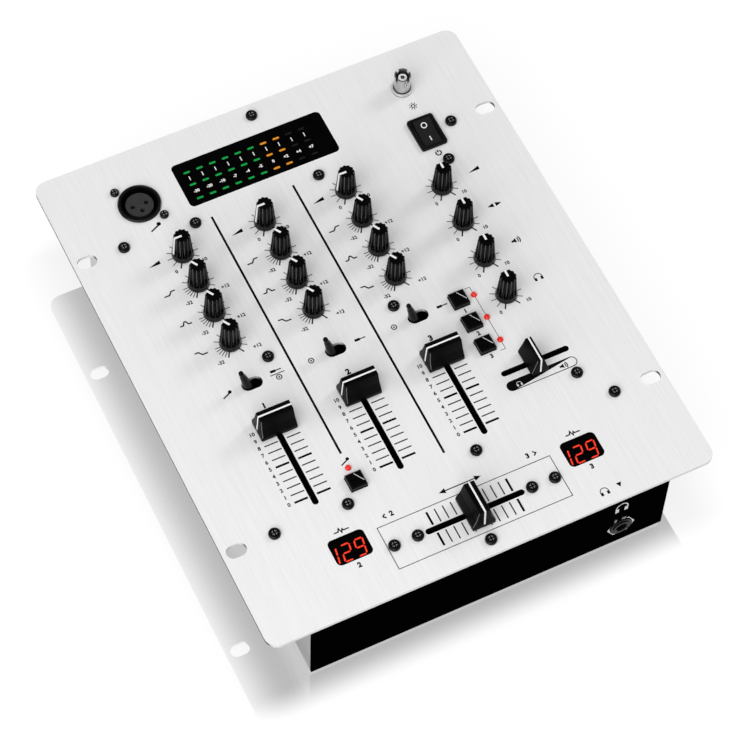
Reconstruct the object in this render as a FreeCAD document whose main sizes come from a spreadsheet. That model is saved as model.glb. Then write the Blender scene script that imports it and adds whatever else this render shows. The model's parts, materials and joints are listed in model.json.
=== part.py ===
import FreeCAD, Part
import math
import os
import re
import Sketcher

# A ten inch, three channel club mixer with a flush crossfader plate, a level meter and two tempo displays.
# The frame stands on its feet: X to the right, Y to the rear, Z up, origin under the middle of the panel.

COLUMNS = 4
CHANNELS = 3
CHANNEL_KNOBS = ("gain", "high", "mid", "low")
MASTER_KNOBS = ("master", "balance", "booth", "cue_level")
METER_COLUMNS = 10
MIC_PINS = 3
LAMP_NOTCH_PAIRS = 2
JACK_COLUMNS = 9
NEAR_ZERO = 1e-6

# Driving sizes in millimetres and degrees
SIZES = {
    # Face panel
    "panel_width": 254,
    "panel_length": 305,
    "panel_thickness": 2,
    "panel_corner": 7,
    "rack_slot_inset": 8,
    "rack_spacing_along": 190.5,
    "rack_slot_length": 11,
    "rack_slot_width": 7.5,
    # Sheet metal case
    "case_width": 204.8,
    "case_height": 54,
    "sheet_thickness": 1.2,
    "front_inset": 3.75,
    "rear_inset": 12,
    "side_flange": 9,
    "plate_flange": 12,
    "rear_lip": 9.5,
    "sheet_gap": 0.3,
    # Feet
    "foot_height": 3,
    "foot_radius": 8,
    "foot_side_inset": 17.4,
    "foot_end_inset": 27.5,
    "foot_recess": 2.2,
    "foot_recess_gap": 0.6,
    # Screws
    "screw_radius": 1.5,
    "screw_clearance": 0.1,
    "screw_head_radius": 3.25,
    "screw_head_height": 1.9,
    "screw_cross_length": 3.6,
    "screw_cross_width": 0.9,
    "screw_cross_depth": 1.1,
    "panel_screw_length": 8,
    "case_screw_length": 6,
    "edge_screw_inset": 7.9,
    "side_screw_inset": 4.7,
    "side_screw_along": 95,
    "board_screw_left": -56.7,
    "board_screw_mid": 16.5,
    "board_screw_centre": 1,
    "master_screw_inset": 15.9,
    "meter_screw_gap": 10.1,
    "tempo_screw_gap": 14.85,
    "power_screw_gap": 10,
    "mix_screw_gap": 15.8,
    "plate_screw_spread": 140,
    # Circuit board and its spacers
    "standoff_length": 14,
    "standoff_radius": 3,
    "board_thickness": 1.6,
    "board_side_inset": 11.2,
    "board_front_inset": 21.5,
    "board_room": 4,
    # Knob grid
    "column_start": -71,
    "column_pitch": 48.26,
    "row_start": 78,
    "row_pitch": 20.3,
    "master_start": 58.1,
    "master_pitch": 25.35,
    # Rotary knobs and potentiometers
    "knob_base_radius": 5.85,
    "knob_neck_radius": 5.55,
    "knob_top_radius": 4.4,
    "knob_height": 18,
    "knob_skirt": 3.4,
    "knob_lip": 1,
    "knob_gap": 0.5,
    "flute_count": 11,
    "flute_radius": 1.1,
    "flute_depth": 0.45,
    "shaft_radius": 3,
    "shaft_grip": 12,
    "shaft_fit": 0.02,
    "run_clearance": 0.05,
    "pot_width": 11,
    "pot_height": 6.5,
    "pot_floor": 2,
    "bushing_radius": 3.7,
    "bushing_clearance": 0.1,
    "bushing_drop": 0.2,
    # Faders
    "fader_start": -38,
    "fader_travel": 45,
    "fader_end_room": 5.65,
    "fader_slot_width": 3.4,
    "fader_body_width": 9,
    "fader_body_height": 9,
    "fader_channel_depth": 5,
    "fader_ear": 4,
    "stem_thickness": 1.2,
    "stem_length": 5,
    "stem_grip": 5,
    "stem_fit": 0.05,
    "slide_clearance": 0.3,
    "mix_side_inset": 32.4,
    "mix_along": -60.7,
    "mix_travel": 30,
    "mix_rest": -1.2,
    "mix_end_room": 4.85,
    "cross_front_inset": 25.6,
    "cross_ear": 8.4,
    "cross_plate_length": 98.5,
    "cross_plate_width": 25.3,
    "cross_plate_thickness": 1,
    "cross_plate_gap": 0.25,
    "cross_opening_gap": 0.5,
    "cross_screw_inner": 32.6,
    "cross_screw_outer": 45.8,
    # Fader caps, the cue mix one smaller than the others
    "cap_gap": 1,
    "cap_length": 20.5,
    "cap_width": 13,
    "cap_height": 15,
    "cap_skirt": 2.8,
    "cap_waist_height": 8,
    "cap_waist_width": 8.6,
    "cap_ridge_length": 18.7,
    "cap_ridge_width": 5.8,
    "mix_cap_length": 16.6,
    "mix_cap_width": 9.8,
    "mix_cap_height": 12.5,
    "mix_cap_skirt": 1.6,
    "mix_cap_waist_height": 7,
    "mix_cap_waist_width": 6.4,
    "mix_cap_ridge_length": 15.2,
    "mix_cap_ridge_width": 3.2,
    # Source selector levers
    "lever_along": -10,
    "lever_tilt": 14.5,
    "lever_pivot_depth": 9,
    "lever_radius": 2.8,
    "lever_tip_radius": 1.1,
    "lever_neck": 10.5,
    "lever_length": 25.8,
    "lever_pin_radius": 1.5,
    "lever_pin_length": 10.4,
    "lever_hole_length": 11.65,
    "lever_hole_width": 7,
    "selector_length": 16,
    "selector_width": 12,
    "selector_height": 13,
    "selector_floor": 1.5,
    "selector_wall": 1.7,
    "selector_cheek": 2.7,
    # Push buttons and status lamps
    "cue_button_across": 49.3,
    "cue_button_start": -10.5,
    "cue_button_pitch": 15.35,
    "talk_across": -47.4,
    "talk_along": -85.5,
    "button_width": 9,
    "button_rise": 3.3,
    "button_skirt": 2.5,
    "button_bevel": 0.7,
    "button_gap": 0.3,
    "button_travel": 2,
    "plunger_width": 4,
    "plunger_room": 3.5,
    "button_switch_width": 12,
    "button_switch_room": 0.6,
    "button_switch_floor": 1,
    "cue_lamp_offset": 9,
    "talk_lamp_offset": 9.1,
    "lamp_radius": 1.65,
    "lamp_gap": 0.1,
    # Display windows
    "meter_across": -9.9,
    "meter_rear_inset": 34.5,
    "meter_width": 89.2,
    "meter_length": 29.2,
    "tempo_across": 66.3,
    "tempo_front_inset": 34.5,
    "tempo_width": 20.2,
    "tempo_length": 15.3,
    "window_corner": 2.8,
    "window_gap": 0.1,
    "window_drop": 0.15,
    "window_margin": 2,
    "window_flange": 1.5,
    "tempo_module_inset": 1,
    "bar_left_inset": 7,
    "bar_pitch": 7.61,
    "bar_width": 3.8,
    "bar_length": 1.6,
    "bar_rear_inset": 7.1,
    "bar_middle_inset": 15.5,
    "bar_front_inset": 25,
    # Microphone socket
    "mic_side_inset": 22.2,
    "mic_rear_inset": 35.2,
    "mic_ring_radius": 11.7,
    "mic_ring_rise": 1.2,
    "mic_ring_gap": 0.2,
    "mic_flange_width": 24,
    "mic_flange_length": 30,
    "mic_flange_thickness": 2,
    "mic_body_radius": 11,
    "mic_body_depth": 18,
    "mic_groove_radius": 10,
    "mic_groove_depth": 14,
    "mic_face_radius": 7.65,
    "mic_face_drop": 0.4,
    "mic_pin_radius": 1.3,
    "mic_pin_circle": 3.9,
    "mic_pin_depth": 3,
    "mic_screw_head_radius": 2.5,
    "mic_screw_across": 9.3,
    "mic_screw_along": 12,
    # Lamp socket
    "lamp_side_inset": 18.2,
    "lamp_rear_inset": 26.5,
    "lamp_seat_radius": 6.1,
    "lamp_seat_height": 1.6,
    "lamp_tube_radius": 4.6,
    "lamp_tube_bore": 3.9,
    "lamp_tube_height": 13,
    "lamp_tube_depth": 9,
    "lamp_hole_gap": 0.15,
    "lamp_bore_depth": 10,
    "lamp_lug_radius": 1,
    "lamp_lug_reach": 1,
    "lamp_lug_height": 8,
    "lamp_notch_width": 1.6,
    "lamp_notch_depth": 2.4,
    "lamp_notch_turn": 17,
    "lamp_insulator_base": 3,
    "lamp_insulator_radius": 2.4,
    "lamp_insulator_height": 8,
    "lamp_contact_radius": 0.8,
    "lamp_nut_radius": 7,
    "lamp_nut_height": 2.5,
    # Power switch
    "power_side_inset": 18.95,
    "power_rear_inset": 59,
    "power_bezel_width": 15.5,
    "power_bezel_length": 21,
    "power_bezel_height": 1.8,
    "power_bezel_corner": 1.5,
    "power_body_width": 12.4,
    "power_body_length": 19.2,
    "power_body_depth": 16,
    "power_hole_gap": 0.2,
    "power_cavity_width": 10.8,
    "power_cavity_length": 17.7,
    "power_cavity_depth": 10,
    "rocker_width": 10.2,
    "rocker_half_length": 8.2,
    "rocker_end_rise": 3,
    "rocker_mid_rise": 1.9,
    "rocker_foot_half": 6.6,
    "rocker_foot_drop": 4,
    "rocker_tilt": 7,
    "rocker_pivot_depth": 0.5,
    "rocker_pin_radius": 1.2,
    "rocker_pin_length": 12,
    # Headphone jack
    "phones_side_inset": 26.6,
    "phones_depth": 34,
    "phones_body_width": 14,
    "phones_body_length": 26,
    "phones_bushing_radius": 4.7,
    "phones_bushing_reach": 3.4,
    "phones_hole_gap": 0.15,
    "phones_bore_radius": 3.2,
    "phones_bore_length": 24,
    "phones_nut_radius": 8.1,
    "phones_nut_height": 2.6,
    # Rear connectors
    "jack_side_inset": 17.2,
    "jack_low": 12.5,
    "jack_row_pitch": 16,
    "jack_barrel_radius": 4.2,
    "jack_barrel_reach": 9.5,
    "jack_hole_gap": 0.15,
    "jack_bore_radius": 1.7,
    "jack_bore_length": 10,
    "jack_body_width": 11,
    "jack_body_height": 12,
    "jack_body_depth": 8.5,
    "rear_board_margin": 4,
    "rear_board_thickness": 1.6,
    "ground_gap": 22,
    "ground_bolt_radius": 2,
    "ground_bolt_reach": 9,
    "ground_bolt_depth": 6,
    "ground_knob_radius": 4.6,
    "ground_knob_length": 6,
    "ground_knob_start": 1,
    "ground_nut_radius": 3.8,
    "ground_nut_height": 2.4,
    "inlet_side_inset": 21.2,
    "inlet_height": 20.5,
    "inlet_collar_radius": 6.2,
    "inlet_collar_reach": 1.6,
    "inlet_barrel_radius": 5,
    "inlet_body_width": 13,
    "inlet_body_depth": 13,
    "inlet_bore_radius": 3.2,
    "inlet_bore_length": 9.5,
    "inlet_pin_radius": 1,
    "inlet_pin_length": 8,
    # Ribbon cable between the boards
    "ribbon_across": -20,
    "ribbon_width": 30,
    "ribbon_thickness": 1,
    "ribbon_drop": 12,
    "ribbon_run": 34,
    "ribbon_bend": 5,
    # Cutting tools reach this far past the faces they open
    "cut_margin": 1,
}

# Levels, faces and spots worked out from the driving sizes
DERIVED = {
    "case_floor": "foot_height + sheet_thickness",
    "panel_under": "foot_height + case_height",
    "panel_top": "panel_under + panel_thickness",
    "board_top": "panel_under - standoff_length",
    "board_under": "board_top - board_thickness",
    "flange_under": "panel_under - sheet_thickness",
    "front_face": "front_inset - panel_length / 2",
    "front_inner": "front_face + sheet_thickness",
    "rear_face": "panel_length / 2 - rear_inset",
    "rear_inner": "rear_face - sheet_thickness",
    "side_inner": "case_width / 2 - sheet_thickness",
    "flange_span": "2 * (side_inner - side_flange - sheet_gap)",
    "floor_span": "2 * (side_inner - sheet_gap)",
    "screw_hole": "screw_radius + screw_clearance",
    "knob_bore": "shaft_radius + shaft_fit",
    "pot_bore": "shaft_radius + run_clearance",
    "cross_plate_under": "panel_top - cross_plate_thickness",
    "fader_slot": "fader_travel + 2 * fader_end_room",
    "mix_slot": "mix_travel + 2 * mix_end_room",
    "fader_middle": "fader_start - fader_travel / 2",
    "cap_under": "panel_top + cap_gap",
    "stem_foot": "board_top + fader_body_height - fader_channel_depth + slide_clearance",
    "cross_stem_foot": "cross_plate_under - fader_channel_depth + slide_clearance",
    "button_under": "panel_top - button_skirt",
    "button_switch_top": "button_under - button_travel - button_switch_room",
    "window_under": "panel_under - window_flange",
    "bar_start": "meter_across - meter_width / 2 + bar_left_inset",
    "bar_rear": "meter_along + meter_length / 2 - bar_rear_inset",
    "bar_middle": "meter_along + meter_length / 2 - bar_middle_inset",
    "bar_front": "meter_along + meter_length / 2 - bar_front_inset",
    "mic_groove_floor": "panel_top - mic_groove_depth",
    "lamp_bore_floor": "panel_top + lamp_tube_height - lamp_bore_depth",
    "phones_level": "panel_top - phones_depth",
    "jack_lower": "foot_height + jack_low",
    "jack_upper": "jack_lower + jack_row_pitch",
    "rear_board_face": "rear_inner - jack_body_depth",
    "rear_board_front": "rear_board_face - rear_board_thickness",
    "rack_spacing_across": "panel_width - 2 * rack_slot_inset",
    "foot_spread_across": "case_width - 2 * foot_side_inset",
    "foot_spread_along": "panel_length - 2 * foot_end_inset",
    "edge_screw_offset": "panel_length / 2 - edge_screw_inset",
    "side_screw_across": "case_width / 2 - side_screw_inset",
    "board_screw_rear": "meter_along - meter_length / 2 - meter_screw_gap",
    "board_screw_front": "tempo_along + tempo_length / 2 + tempo_screw_gap",
    "master_screw_across": "side_inner - master_screw_inset",
    "master_screw_rear": "power_along - power_bezel_length / 2 - power_screw_gap",
    "master_screw_front": "mix_along - mix_screw_gap",
    "board_half_width": "side_inner - board_side_inset",
    "board_front": "board_front_inset - panel_length / 2",
    "board_rear": "mic_along - mic_flange_length / 2 - board_room",
    "board_notch_across": "power_across - power_body_width / 2 - board_room",
    "board_notch_along": "power_along - power_body_length / 2 - board_room",
    "tongue_rear": "meter_along + (meter_length + board_room) / 2",
    "tongue_left": "meter_across - (meter_width + board_room) / 2",
    "tongue_right": "meter_across + (meter_width + board_room) / 2",
    "mix_across": "side_inner - mix_side_inset",
    "cross_along": "cross_front_inset - panel_length / 2",
    "meter_along": "panel_length / 2 - meter_rear_inset",
    "tempo_along": "tempo_front_inset - panel_length / 2",
    "mic_across": "mic_side_inset - side_inner",
    "mic_along": "panel_length / 2 - mic_rear_inset",
    "lamp_socket_across": "side_inner - lamp_side_inset",
    "lamp_socket_along": "panel_length / 2 - lamp_rear_inset",
    "power_across": "side_inner - power_side_inset",
    "power_along": "panel_length / 2 - power_rear_inset",
    "phones_across": "side_inner - phones_side_inset",
    "inlet_across": "side_inner - inlet_side_inset",
    "ground_across": "inlet_across - ground_gap",
    "jack_start": "jack_side_inset - side_inner",
    "jack_pitch": f"(ground_across - ground_gap - jack_start) / {JACK_COLUMNS - 1}",
    "ribbon_level": "board_under - ribbon_drop",
    "ribbon_start": "rear_board_front - ribbon_run",
}

doc = FreeCAD.newDocument("dj_mixer")
sheet = doc.addObject("Spreadsheet::Sheet", "sizes")
for row, (alias, number) in enumerate(SIZES.items(), start=1):
    sheet.set(f"A{row}", alias)
    sheet.set(f"B{row}", str(number))
    sheet.setAlias(f"B{row}", alias)
doc.recompute()

nodes = []


# Small tools for binding, placing and joining

def formula(text):
    """Turn a plain size formula into an expression that reads the sheet."""
    def expand(match):
        word = match.group(0)
        if word in SIZES:
            return "sizes." + word
        if word in DERIVED:
            return "(" + formula(DERIVED[word]) + ")"
        return word
    return re.sub(r"[a-z_]+", expand, text)


def bind(obj, **formulas):
    for name, text in formulas.items():
        obj.setExpression(name, formula(text))
    return obj


def place(obj, x="0", y="0", z="0"):
    for letter, text in (("x", x), ("y", y), ("z", z)):
        obj.setExpression("Placement.Base." + letter, formula(text))
    return obj


def turn(obj, axis, degrees):
    obj.Placement = FreeCAD.Placement(FreeCAD.Vector(), FreeCAD.Rotation(FreeCAD.Vector(*axis), degrees))
    return obj


POINTED = {"z": ((0, 0, 1), 0), "y": ((1, 0, 0), -90), "-y": ((1, 0, 0), 90), "x": ((0, 1, 0), 90)}


def box(name, length, width, height, x="0", y="0", z="0"):
    """A block centred on x and y that stands on z."""
    obj = doc.addObject("Part::Box", name)
    bind(obj, Length=length, Width=width, Height=height)
    return place(obj, f"({x}) - ({length}) / 2", f"({y}) - ({width}) / 2", z)


def rounded_box(name, length, width, height, corner, x="0", y="0", z="0"):
    """A block with rounded upright edges, centred on x and y, that stands on z."""
    pieces = [
        box(name + "_long", length, f"({width}) - 2 * ({corner})", height, x, y, z),
        box(name + "_wide", f"({length}) - 2 * ({corner})", width, height, x, y, z),
    ]
    for i in (-1, 1):
        for j in (-1, 1):
            pieces.append(cylinder(f"{name}_corner_{i}_{j}", corner, height,
                                   f"({x}) + {i} * (({length}) / 2 - ({corner}))",
                                   f"({y}) + {j} * (({width}) / 2 - ({corner}))", z))
    return fuse(name, pieces)


def cylinder(name, radius, height, x="0", y="0", z="0", along="z"):
    obj = doc.addObject("Part::Cylinder", name)
    bind(obj, Radius=radius, Height=height)
    turn(obj, *POINTED[along])
    return place(obj, x, y, z)


def cone(name, low_radius, high_radius, height, z="0"):
    obj = doc.addObject("Part::Cone", name)
    bind(obj, Radius1=low_radius, Radius2=high_radius, Height=height)
    return place(obj, z=z)


def ball(name, radius, x="0", y="0", z="0"):
    obj = doc.addObject("Part::Sphere", name)
    bind(obj, Radius=radius)
    return place(obj, x, y, z)


def hexagon(name, corner_radius, height, x="0", y="0", z="0", along="z"):
    obj = doc.addObject("Part::Prism", name)
    obj.Polygon = 6
    bind(obj, Circumradius=corner_radius, Height=height)
    turn(obj, *POINTED[along])
    return place(obj, x, y, z)


def group(name, pieces):
    obj = doc.addObject("Part::Compound", name)
    obj.Links = pieces
    return obj


def fuse(name, pieces):
    obj = doc.addObject("Part::MultiFuse", name)
    obj.Shapes = pieces
    obj.Refine = True
    return obj


def cut(name, base, tools):
    obj = doc.addObject("Part::Cut", name)
    obj.Base = base
    obj.Tool = tools[0] if len(tools) == 1 else group(name + "_tools", tools)
    obj.Refine = True
    return obj


def copy(name, form, x="0", y="0", z="0", axis=(0, 0, 1), degrees=0):
    """A form seated at another spot."""
    obj = group(name, [form])
    turn(obj, axis, degrees)
    return place(obj, x, y, z)


def copies(name, form, spots):
    return group(name, [copy(f"{name}_{k}", form, *spot) for k, spot in enumerate(spots)])


def obround(name, length, width, height, x="0", y="0", z="0", along="x"):
    """A slot shaped tool with round ends."""
    reach = f"(({length}) - ({width})) / 2"
    straight = f"({length}) - ({width})"
    if along == "x":
        middle = box(name + "_middle", straight, width, height, x, y, z)
        ends = ((f"({x}) - {reach}", y), (f"({x}) + {reach}", y))
    else:
        middle = box(name + "_middle", width, straight, height, x, y, z)
        ends = ((x, f"({y}) - {reach}"), (x, f"({y}) + {reach}"))
    rounds = [cylinder(f"{name}_end_{k}", f"({width}) / 2", height, *end, z) for k, end in enumerate(ends)]
    return fuse(name, [middle] + rounds)


def sketch_on(body, plane_role, name):
    plane = [feature for feature in body.Origin.OriginFeatures if feature.Role == plane_role][0]
    sketch = body.newObject("Sketcher::SketchObject", name)
    sketch.AttachmentSupport = [(plane, "")]
    sketch.MapMode = "FlatFace"
    return sketch


def outline(sketch, corners):
    """A closed run of straight lines whose corners are size formulas."""
    count = len(corners)
    ring = []
    for k in range(count):
        around = 2 * math.pi * k / count
        ring.append(FreeCAD.Vector(math.cos(around), math.sin(around), 0))
    for k in range(count):
        sketch.addGeometry(Part.LineSegment(ring[k], ring[(k + 1) % count]), False)
    for k in range(count):
        sketch.addConstraint(Sketcher.Constraint("Coincident", k, 2, (k + 1) % count, 1))
    for k, corner in enumerate(corners):
        for kind, text, axis_line in zip(("DistanceX", "DistanceY"), corner, (-2, -1)):
            if text == "0":
                sketch.addConstraint(Sketcher.Constraint("PointOnObject", k, 1, axis_line))
            else:
                index = sketch.addConstraint(Sketcher.Constraint(kind, -1, 1, k, 1, 1.0))
                sketch.setExpression(f"Constraints[{index}]", formula(text))


def padded(name, plane_role, corners, thickness, both_ways=False):
    """A body made by padding one straight sided outline."""
    body = doc.addObject("PartDesign::Body", name)
    sketch = sketch_on(body, plane_role, name + "_outline")
    outline(sketch, corners)
    doc.recompute()
    pad = body.newObject("PartDesign::Pad", name + "_pad")
    pad.Profile = sketch
    pad.Midplane = both_ways
    bind(pad, Length=thickness)
    doc.recompute()
    return body


def node(obj, label):
    """Name a finished sub-part and keep it for writing."""
    obj.Label = label
    nodes.append(obj)
    return obj


# Spots that several pieces share

def column(k):
    return f"column_start + {k} * column_pitch"


def row_of_knob(k):
    return f"row_start - {k} * row_pitch"


def master_row(k):
    return f"master_start - {k} * master_pitch"


def cue_button_row(k):
    return f"cue_button_start - {k} * cue_button_pitch"


def jack_column(k):
    return f"jack_start + {k} * jack_pitch"


def both_signs(across, along):
    return [(f"{i} * {across}", f"{j} * {along}") for i in (-1, 1) for j in (-1, 1)]


MASTER_COLUMN = column(COLUMNS - 1)
KNOB_SPOTS = {}
for channel in range(CHANNELS):
    for k, word in enumerate(CHANNEL_KNOBS):
        KNOB_SPOTS[f"knob_{word}_{channel + 1}"] = (column(channel), row_of_knob(k))
for k, word in enumerate(MASTER_KNOBS):
    KNOB_SPOTS[f"knob_{word}"] = (MASTER_COLUMN, master_row(k))

BUTTON_SPOTS = {f"cue_button_{k + 1}": ("cue_button_across", cue_button_row(k)) for k in range(CHANNELS)}
BUTTON_SPOTS["talk_button"] = ("talk_across", "talk_along")
LAMP_SPOTS = [("cue_button_across + cue_lamp_offset", cue_button_row(k)) for k in range(CHANNELS)]
LAMP_SPOTS.append(("talk_across", "talk_along + talk_lamp_offset"))

EDGE_SCREWS = [("0", "edge_screw_offset"), ("0", "-edge_screw_offset")]
SIDE_SCREWS = both_signs("side_screw_across", "side_screw_along")
BOARD_SCREWS = [
    (across, along)
    for across in ("board_screw_left", "board_screw_mid")
    for along in ("board_screw_rear", "board_screw_centre", "board_screw_front")
]
BOARD_SCREWS += [("master_screw_across", along) for along in ("master_screw_rear", "master_screw_front")]
PANEL_SCREWS = EDGE_SCREWS + SIDE_SCREWS + BOARD_SCREWS
CROSS_INNER = [(f"{side} * cross_screw_inner", "cross_along") for side in (-1, 1)]
CROSS_OUTER = [(f"{side} * cross_screw_outer", "cross_along") for side in (-1, 1)]
MIC_SCREWS = [
    (f"mic_across - {side} * mic_screw_across", f"mic_along + {side} * mic_screw_along") for side in (-1, 1)
]
FOOT_SPOTS = both_signs("foot_spread_across / 2", "foot_spread_along / 2")
PLATE_SCREW_COLUMNS = [f"{side} * plate_screw_spread / 2" for side in (-1, 0, 1)]
FRONT_PLATE_SCREWS = [(across, "front_inner + plate_flange / 2") for across in PLATE_SCREW_COLUMNS]
REAR_PLATE_SCREWS = [(across, "rear_inner - plate_flange / 2") for across in PLATE_SCREW_COLUMNS]
WINDOWS = {
    "meter": ("meter_width", "meter_length", "meter_across", "meter_along"),
    "tempo_left": ("tempo_width", "tempo_length", "-tempo_across", "tempo_along"),
    "tempo_right": ("tempo_width", "tempo_length", "tempo_across", "tempo_along"),
}
JACK_SPOTS = [(jack_column(k), level) for k in range(JACK_COLUMNS) for level in ("jack_lower", "jack_upper")]
GROUND_LEVELS = ("jack_lower", "jack_upper")


# Face panel: a rounded plate opened for every control

def panel_tools():
    low = "panel_under - cut_margin"
    tall = "panel_thickness + 2 * cut_margin"
    tools = []
    for k, (x, y) in enumerate(KNOB_SPOTS.values()):
        tools.append(cylinder(f"pot_hole_{k}", "bushing_radius + bushing_clearance", tall, x, y, low))
    for k, (x, y) in enumerate(PANEL_SCREWS + CROSS_OUTER + MIC_SCREWS):
        tools.append(cylinder(f"screw_hole_{k}", "screw_hole", tall, x, y, low))
    for k, (x, y) in enumerate(LAMP_SPOTS):
        tools.append(cylinder(f"lamp_hole_{k}", "lamp_radius + lamp_gap", tall, x, y, low))
    for k, (x, y) in enumerate(both_signs("rack_spacing_across / 2", "rack_spacing_along / 2")):
        tools.append(obround(f"rack_slot_{k}", "rack_slot_length", "rack_slot_width", tall, x, y, low))
    for k in range(CHANNELS):
        tools.append(obround(f"lever_hole_{k}", "lever_hole_length", "lever_hole_width", tall,
                             column(k), "lever_along", low))
        tools.append(obround(f"fader_slot_{k}", "fader_slot", "fader_slot_width", tall,
                             column(k), "fader_middle", low, along="y"))
    tools.append(obround("mix_slot", "mix_slot", "fader_slot_width", tall, "mix_across", "mix_along", low))
    for name, (x, y) in BUTTON_SPOTS.items():
        wide = "button_width + 2 * button_gap"
        tools.append(box(name + "_hole", wide, wide, tall, x, y, low))
    for name, (wide, long, x, y) in WINDOWS.items():
        tools.append(rounded_box(name + "_opening", wide, long, tall, "window_corner", x, y, low))
    tools.append(box("power_opening", "power_body_width + 2 * power_hole_gap",
                     "power_body_length + 2 * power_hole_gap", tall, "power_across", "power_along", low))
    tools.append(cylinder("mic_hole", "mic_ring_radius + mic_ring_gap", tall, "mic_across", "mic_along", low))
    tools.append(cylinder("lamp_socket_hole", "lamp_tube_radius + lamp_hole_gap", tall,
                          "lamp_socket_across", "lamp_socket_along", low))
    opening = box("cross_opening", "fader_slot + 2 * (cross_ear + cross_opening_gap)",
                  "fader_body_width + 2 * cross_opening_gap", tall, "0", "cross_along", low)
    recess = box("cross_recess", "cross_plate_length + 2 * cross_plate_gap",
                 "cross_plate_width + 2 * cross_plate_gap", "cross_plate_thickness + cut_margin",
                 "0", "cross_along", "cross_plate_under")
    return tools, [opening, recess]


def make_top_panel():
    half_wide = "panel_width / 2"
    half_long = "panel_length / 2"
    blank = padded("panel_blank", "XY_Plane", [
        (f"-{half_wide}", f"-{half_long}"), (half_wide, f"-{half_long}"),
        (half_wide, half_long), (f"-{half_wide}", half_long)], "panel_thickness")
    uprights = []
    for k, edge in enumerate(blank.Shape.Edges, start=1):
        if abs(edge.Vertexes[0].Z - edge.Vertexes[-1].Z) > 0:
            uprights.append(f"Edge{k}")
    square_plate = blank.Tip
    rounding = blank.newObject("PartDesign::Fillet", "panel_rounding")
    rounding.Base = (square_plate, uprights)
    bind(rounding, Radius="panel_corner")
    place(blank, z="panel_under")
    doc.recompute()
    holes, cross_steps = panel_tools()
    stepped = fuse("cross_step", cross_steps)
    node(cut("top_panel", cut("panel_holed", blank, holes), [stepped]), "top_panel")


# Case: a light metal tray closed by a black front plate and a rear plate

def make_case():
    depth = "rear_inner - front_inner"
    middle = "(rear_inner + front_inner) / 2"
    pieces = [box("tray_floor", "case_width", depth, "sheet_thickness", "0", middle, "foot_height")]
    for side in (-1, 1):
        pieces.append(box(f"tray_side_{side}", "sheet_thickness", depth, "case_height",
                          f"{side} * (side_inner + sheet_thickness / 2)", middle, "foot_height"))
        pieces.append(box(f"tray_flange_{side}", "side_flange", depth, "sheet_thickness",
                          f"{side} * (side_inner - side_flange / 2)", middle, "flange_under"))
    tray = fuse("tray_folded", pieces)
    drill = "sheet_thickness + 2 * cut_margin"
    tools = []
    for k, (x, y) in enumerate(SIDE_SCREWS):
        tools.append(cylinder(f"tray_side_hole_{k}", "screw_hole", drill, x, y, "flange_under - cut_margin"))
    for k, (x, y) in enumerate(FOOT_SPOTS + FRONT_PLATE_SCREWS + REAR_PLATE_SCREWS):
        tools.append(cylinder(f"tray_floor_hole_{k}", "screw_hole", drill, x, y, "foot_height - cut_margin"))
    node(cut("case_tray", tray, tools), "case_tray")


def make_plate(name, face, inner, outward, lip, lip_width, lip_spot, screw_spots, wall_tools):
    """A folded end plate: a wall, a lip under the panel and a foot on the tray floor."""
    wall = box(name + "_wall", "case_width", "sheet_thickness", "case_height",
               "0", f"({face} + {inner}) / 2", "foot_height")
    top = box(name + "_lip", lip_width, lip, "sheet_thickness", "0", lip_spot, "flange_under")
    foot = box(name + "_foot", "floor_span", "plate_flange", "sheet_thickness",
               "0", f"{inner} - {outward} * plate_flange / 2", "case_floor")
    folded = fuse(name + "_folded", [wall, top, foot])
    drill = "sheet_thickness + 2 * cut_margin"
    tools = [cylinder(name + "_lip_hole", "screw_hole", drill, "0",
                      f"{outward} * edge_screw_offset", "flange_under - cut_margin")]
    for k, (x, y) in enumerate(screw_spots):
        tools.append(cylinder(f"{name}_foot_hole_{k}", "screw_hole", drill, x, y, "case_floor - cut_margin"))
    node(cut(name, folded, tools + wall_tools), name)


def make_end_plates():
    drill = "sheet_thickness + 2 * cut_margin"
    phones_hole = cylinder("phones_hole", "phones_bushing_radius + phones_hole_gap", drill,
                           "phones_across", "front_face - cut_margin", "phones_level", along="y")
    make_plate("front_plate", "front_face", "front_inner", "-1", "plate_flange", "flange_span",
               "front_inner + plate_flange / 2", FRONT_PLATE_SCREWS, [phones_hole])
    start = "rear_inner - cut_margin"
    rear_tools = []
    for k, (x, z) in enumerate(JACK_SPOTS):
        rear_tools.append(cylinder(f"jack_hole_{k}", "jack_barrel_radius + jack_hole_gap", drill,
                                   x, start, z, along="y"))
    for k, z in enumerate(GROUND_LEVELS):
        rear_tools.append(cylinder(f"ground_hole_{k}", "ground_bolt_radius + screw_clearance", drill,
                                   "ground_across", start, z, along="y"))
    rear_tools.append(cylinder("inlet_hole", "inlet_barrel_radius + jack_hole_gap", drill,
                               "inlet_across", start, "foot_height + inlet_height", along="y"))
    make_plate("rear_plate", "rear_face", "rear_inner", "1", "rear_lip", "case_width",
               "rear_face + rear_lip / 2", REAR_PLATE_SCREWS, rear_tools)


def make_feet():
    pad = cylinder("foot_pad", "foot_radius", "foot_height")
    recess = cylinder("foot_recess_tool", "screw_head_radius + foot_recess_gap",
                      "foot_recess + cut_margin", z="-cut_margin")
    through = cylinder("foot_through", "screw_hole", "foot_height + 2 * cut_margin", z="-cut_margin")
    foot = cut("foot_form", pad, [fuse("foot_bore", [recess, through])])
    node(copies("feet", foot, FOOT_SPOTS), "rubber_feet")


# Fasteners: cross recessed pan head screws

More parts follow.
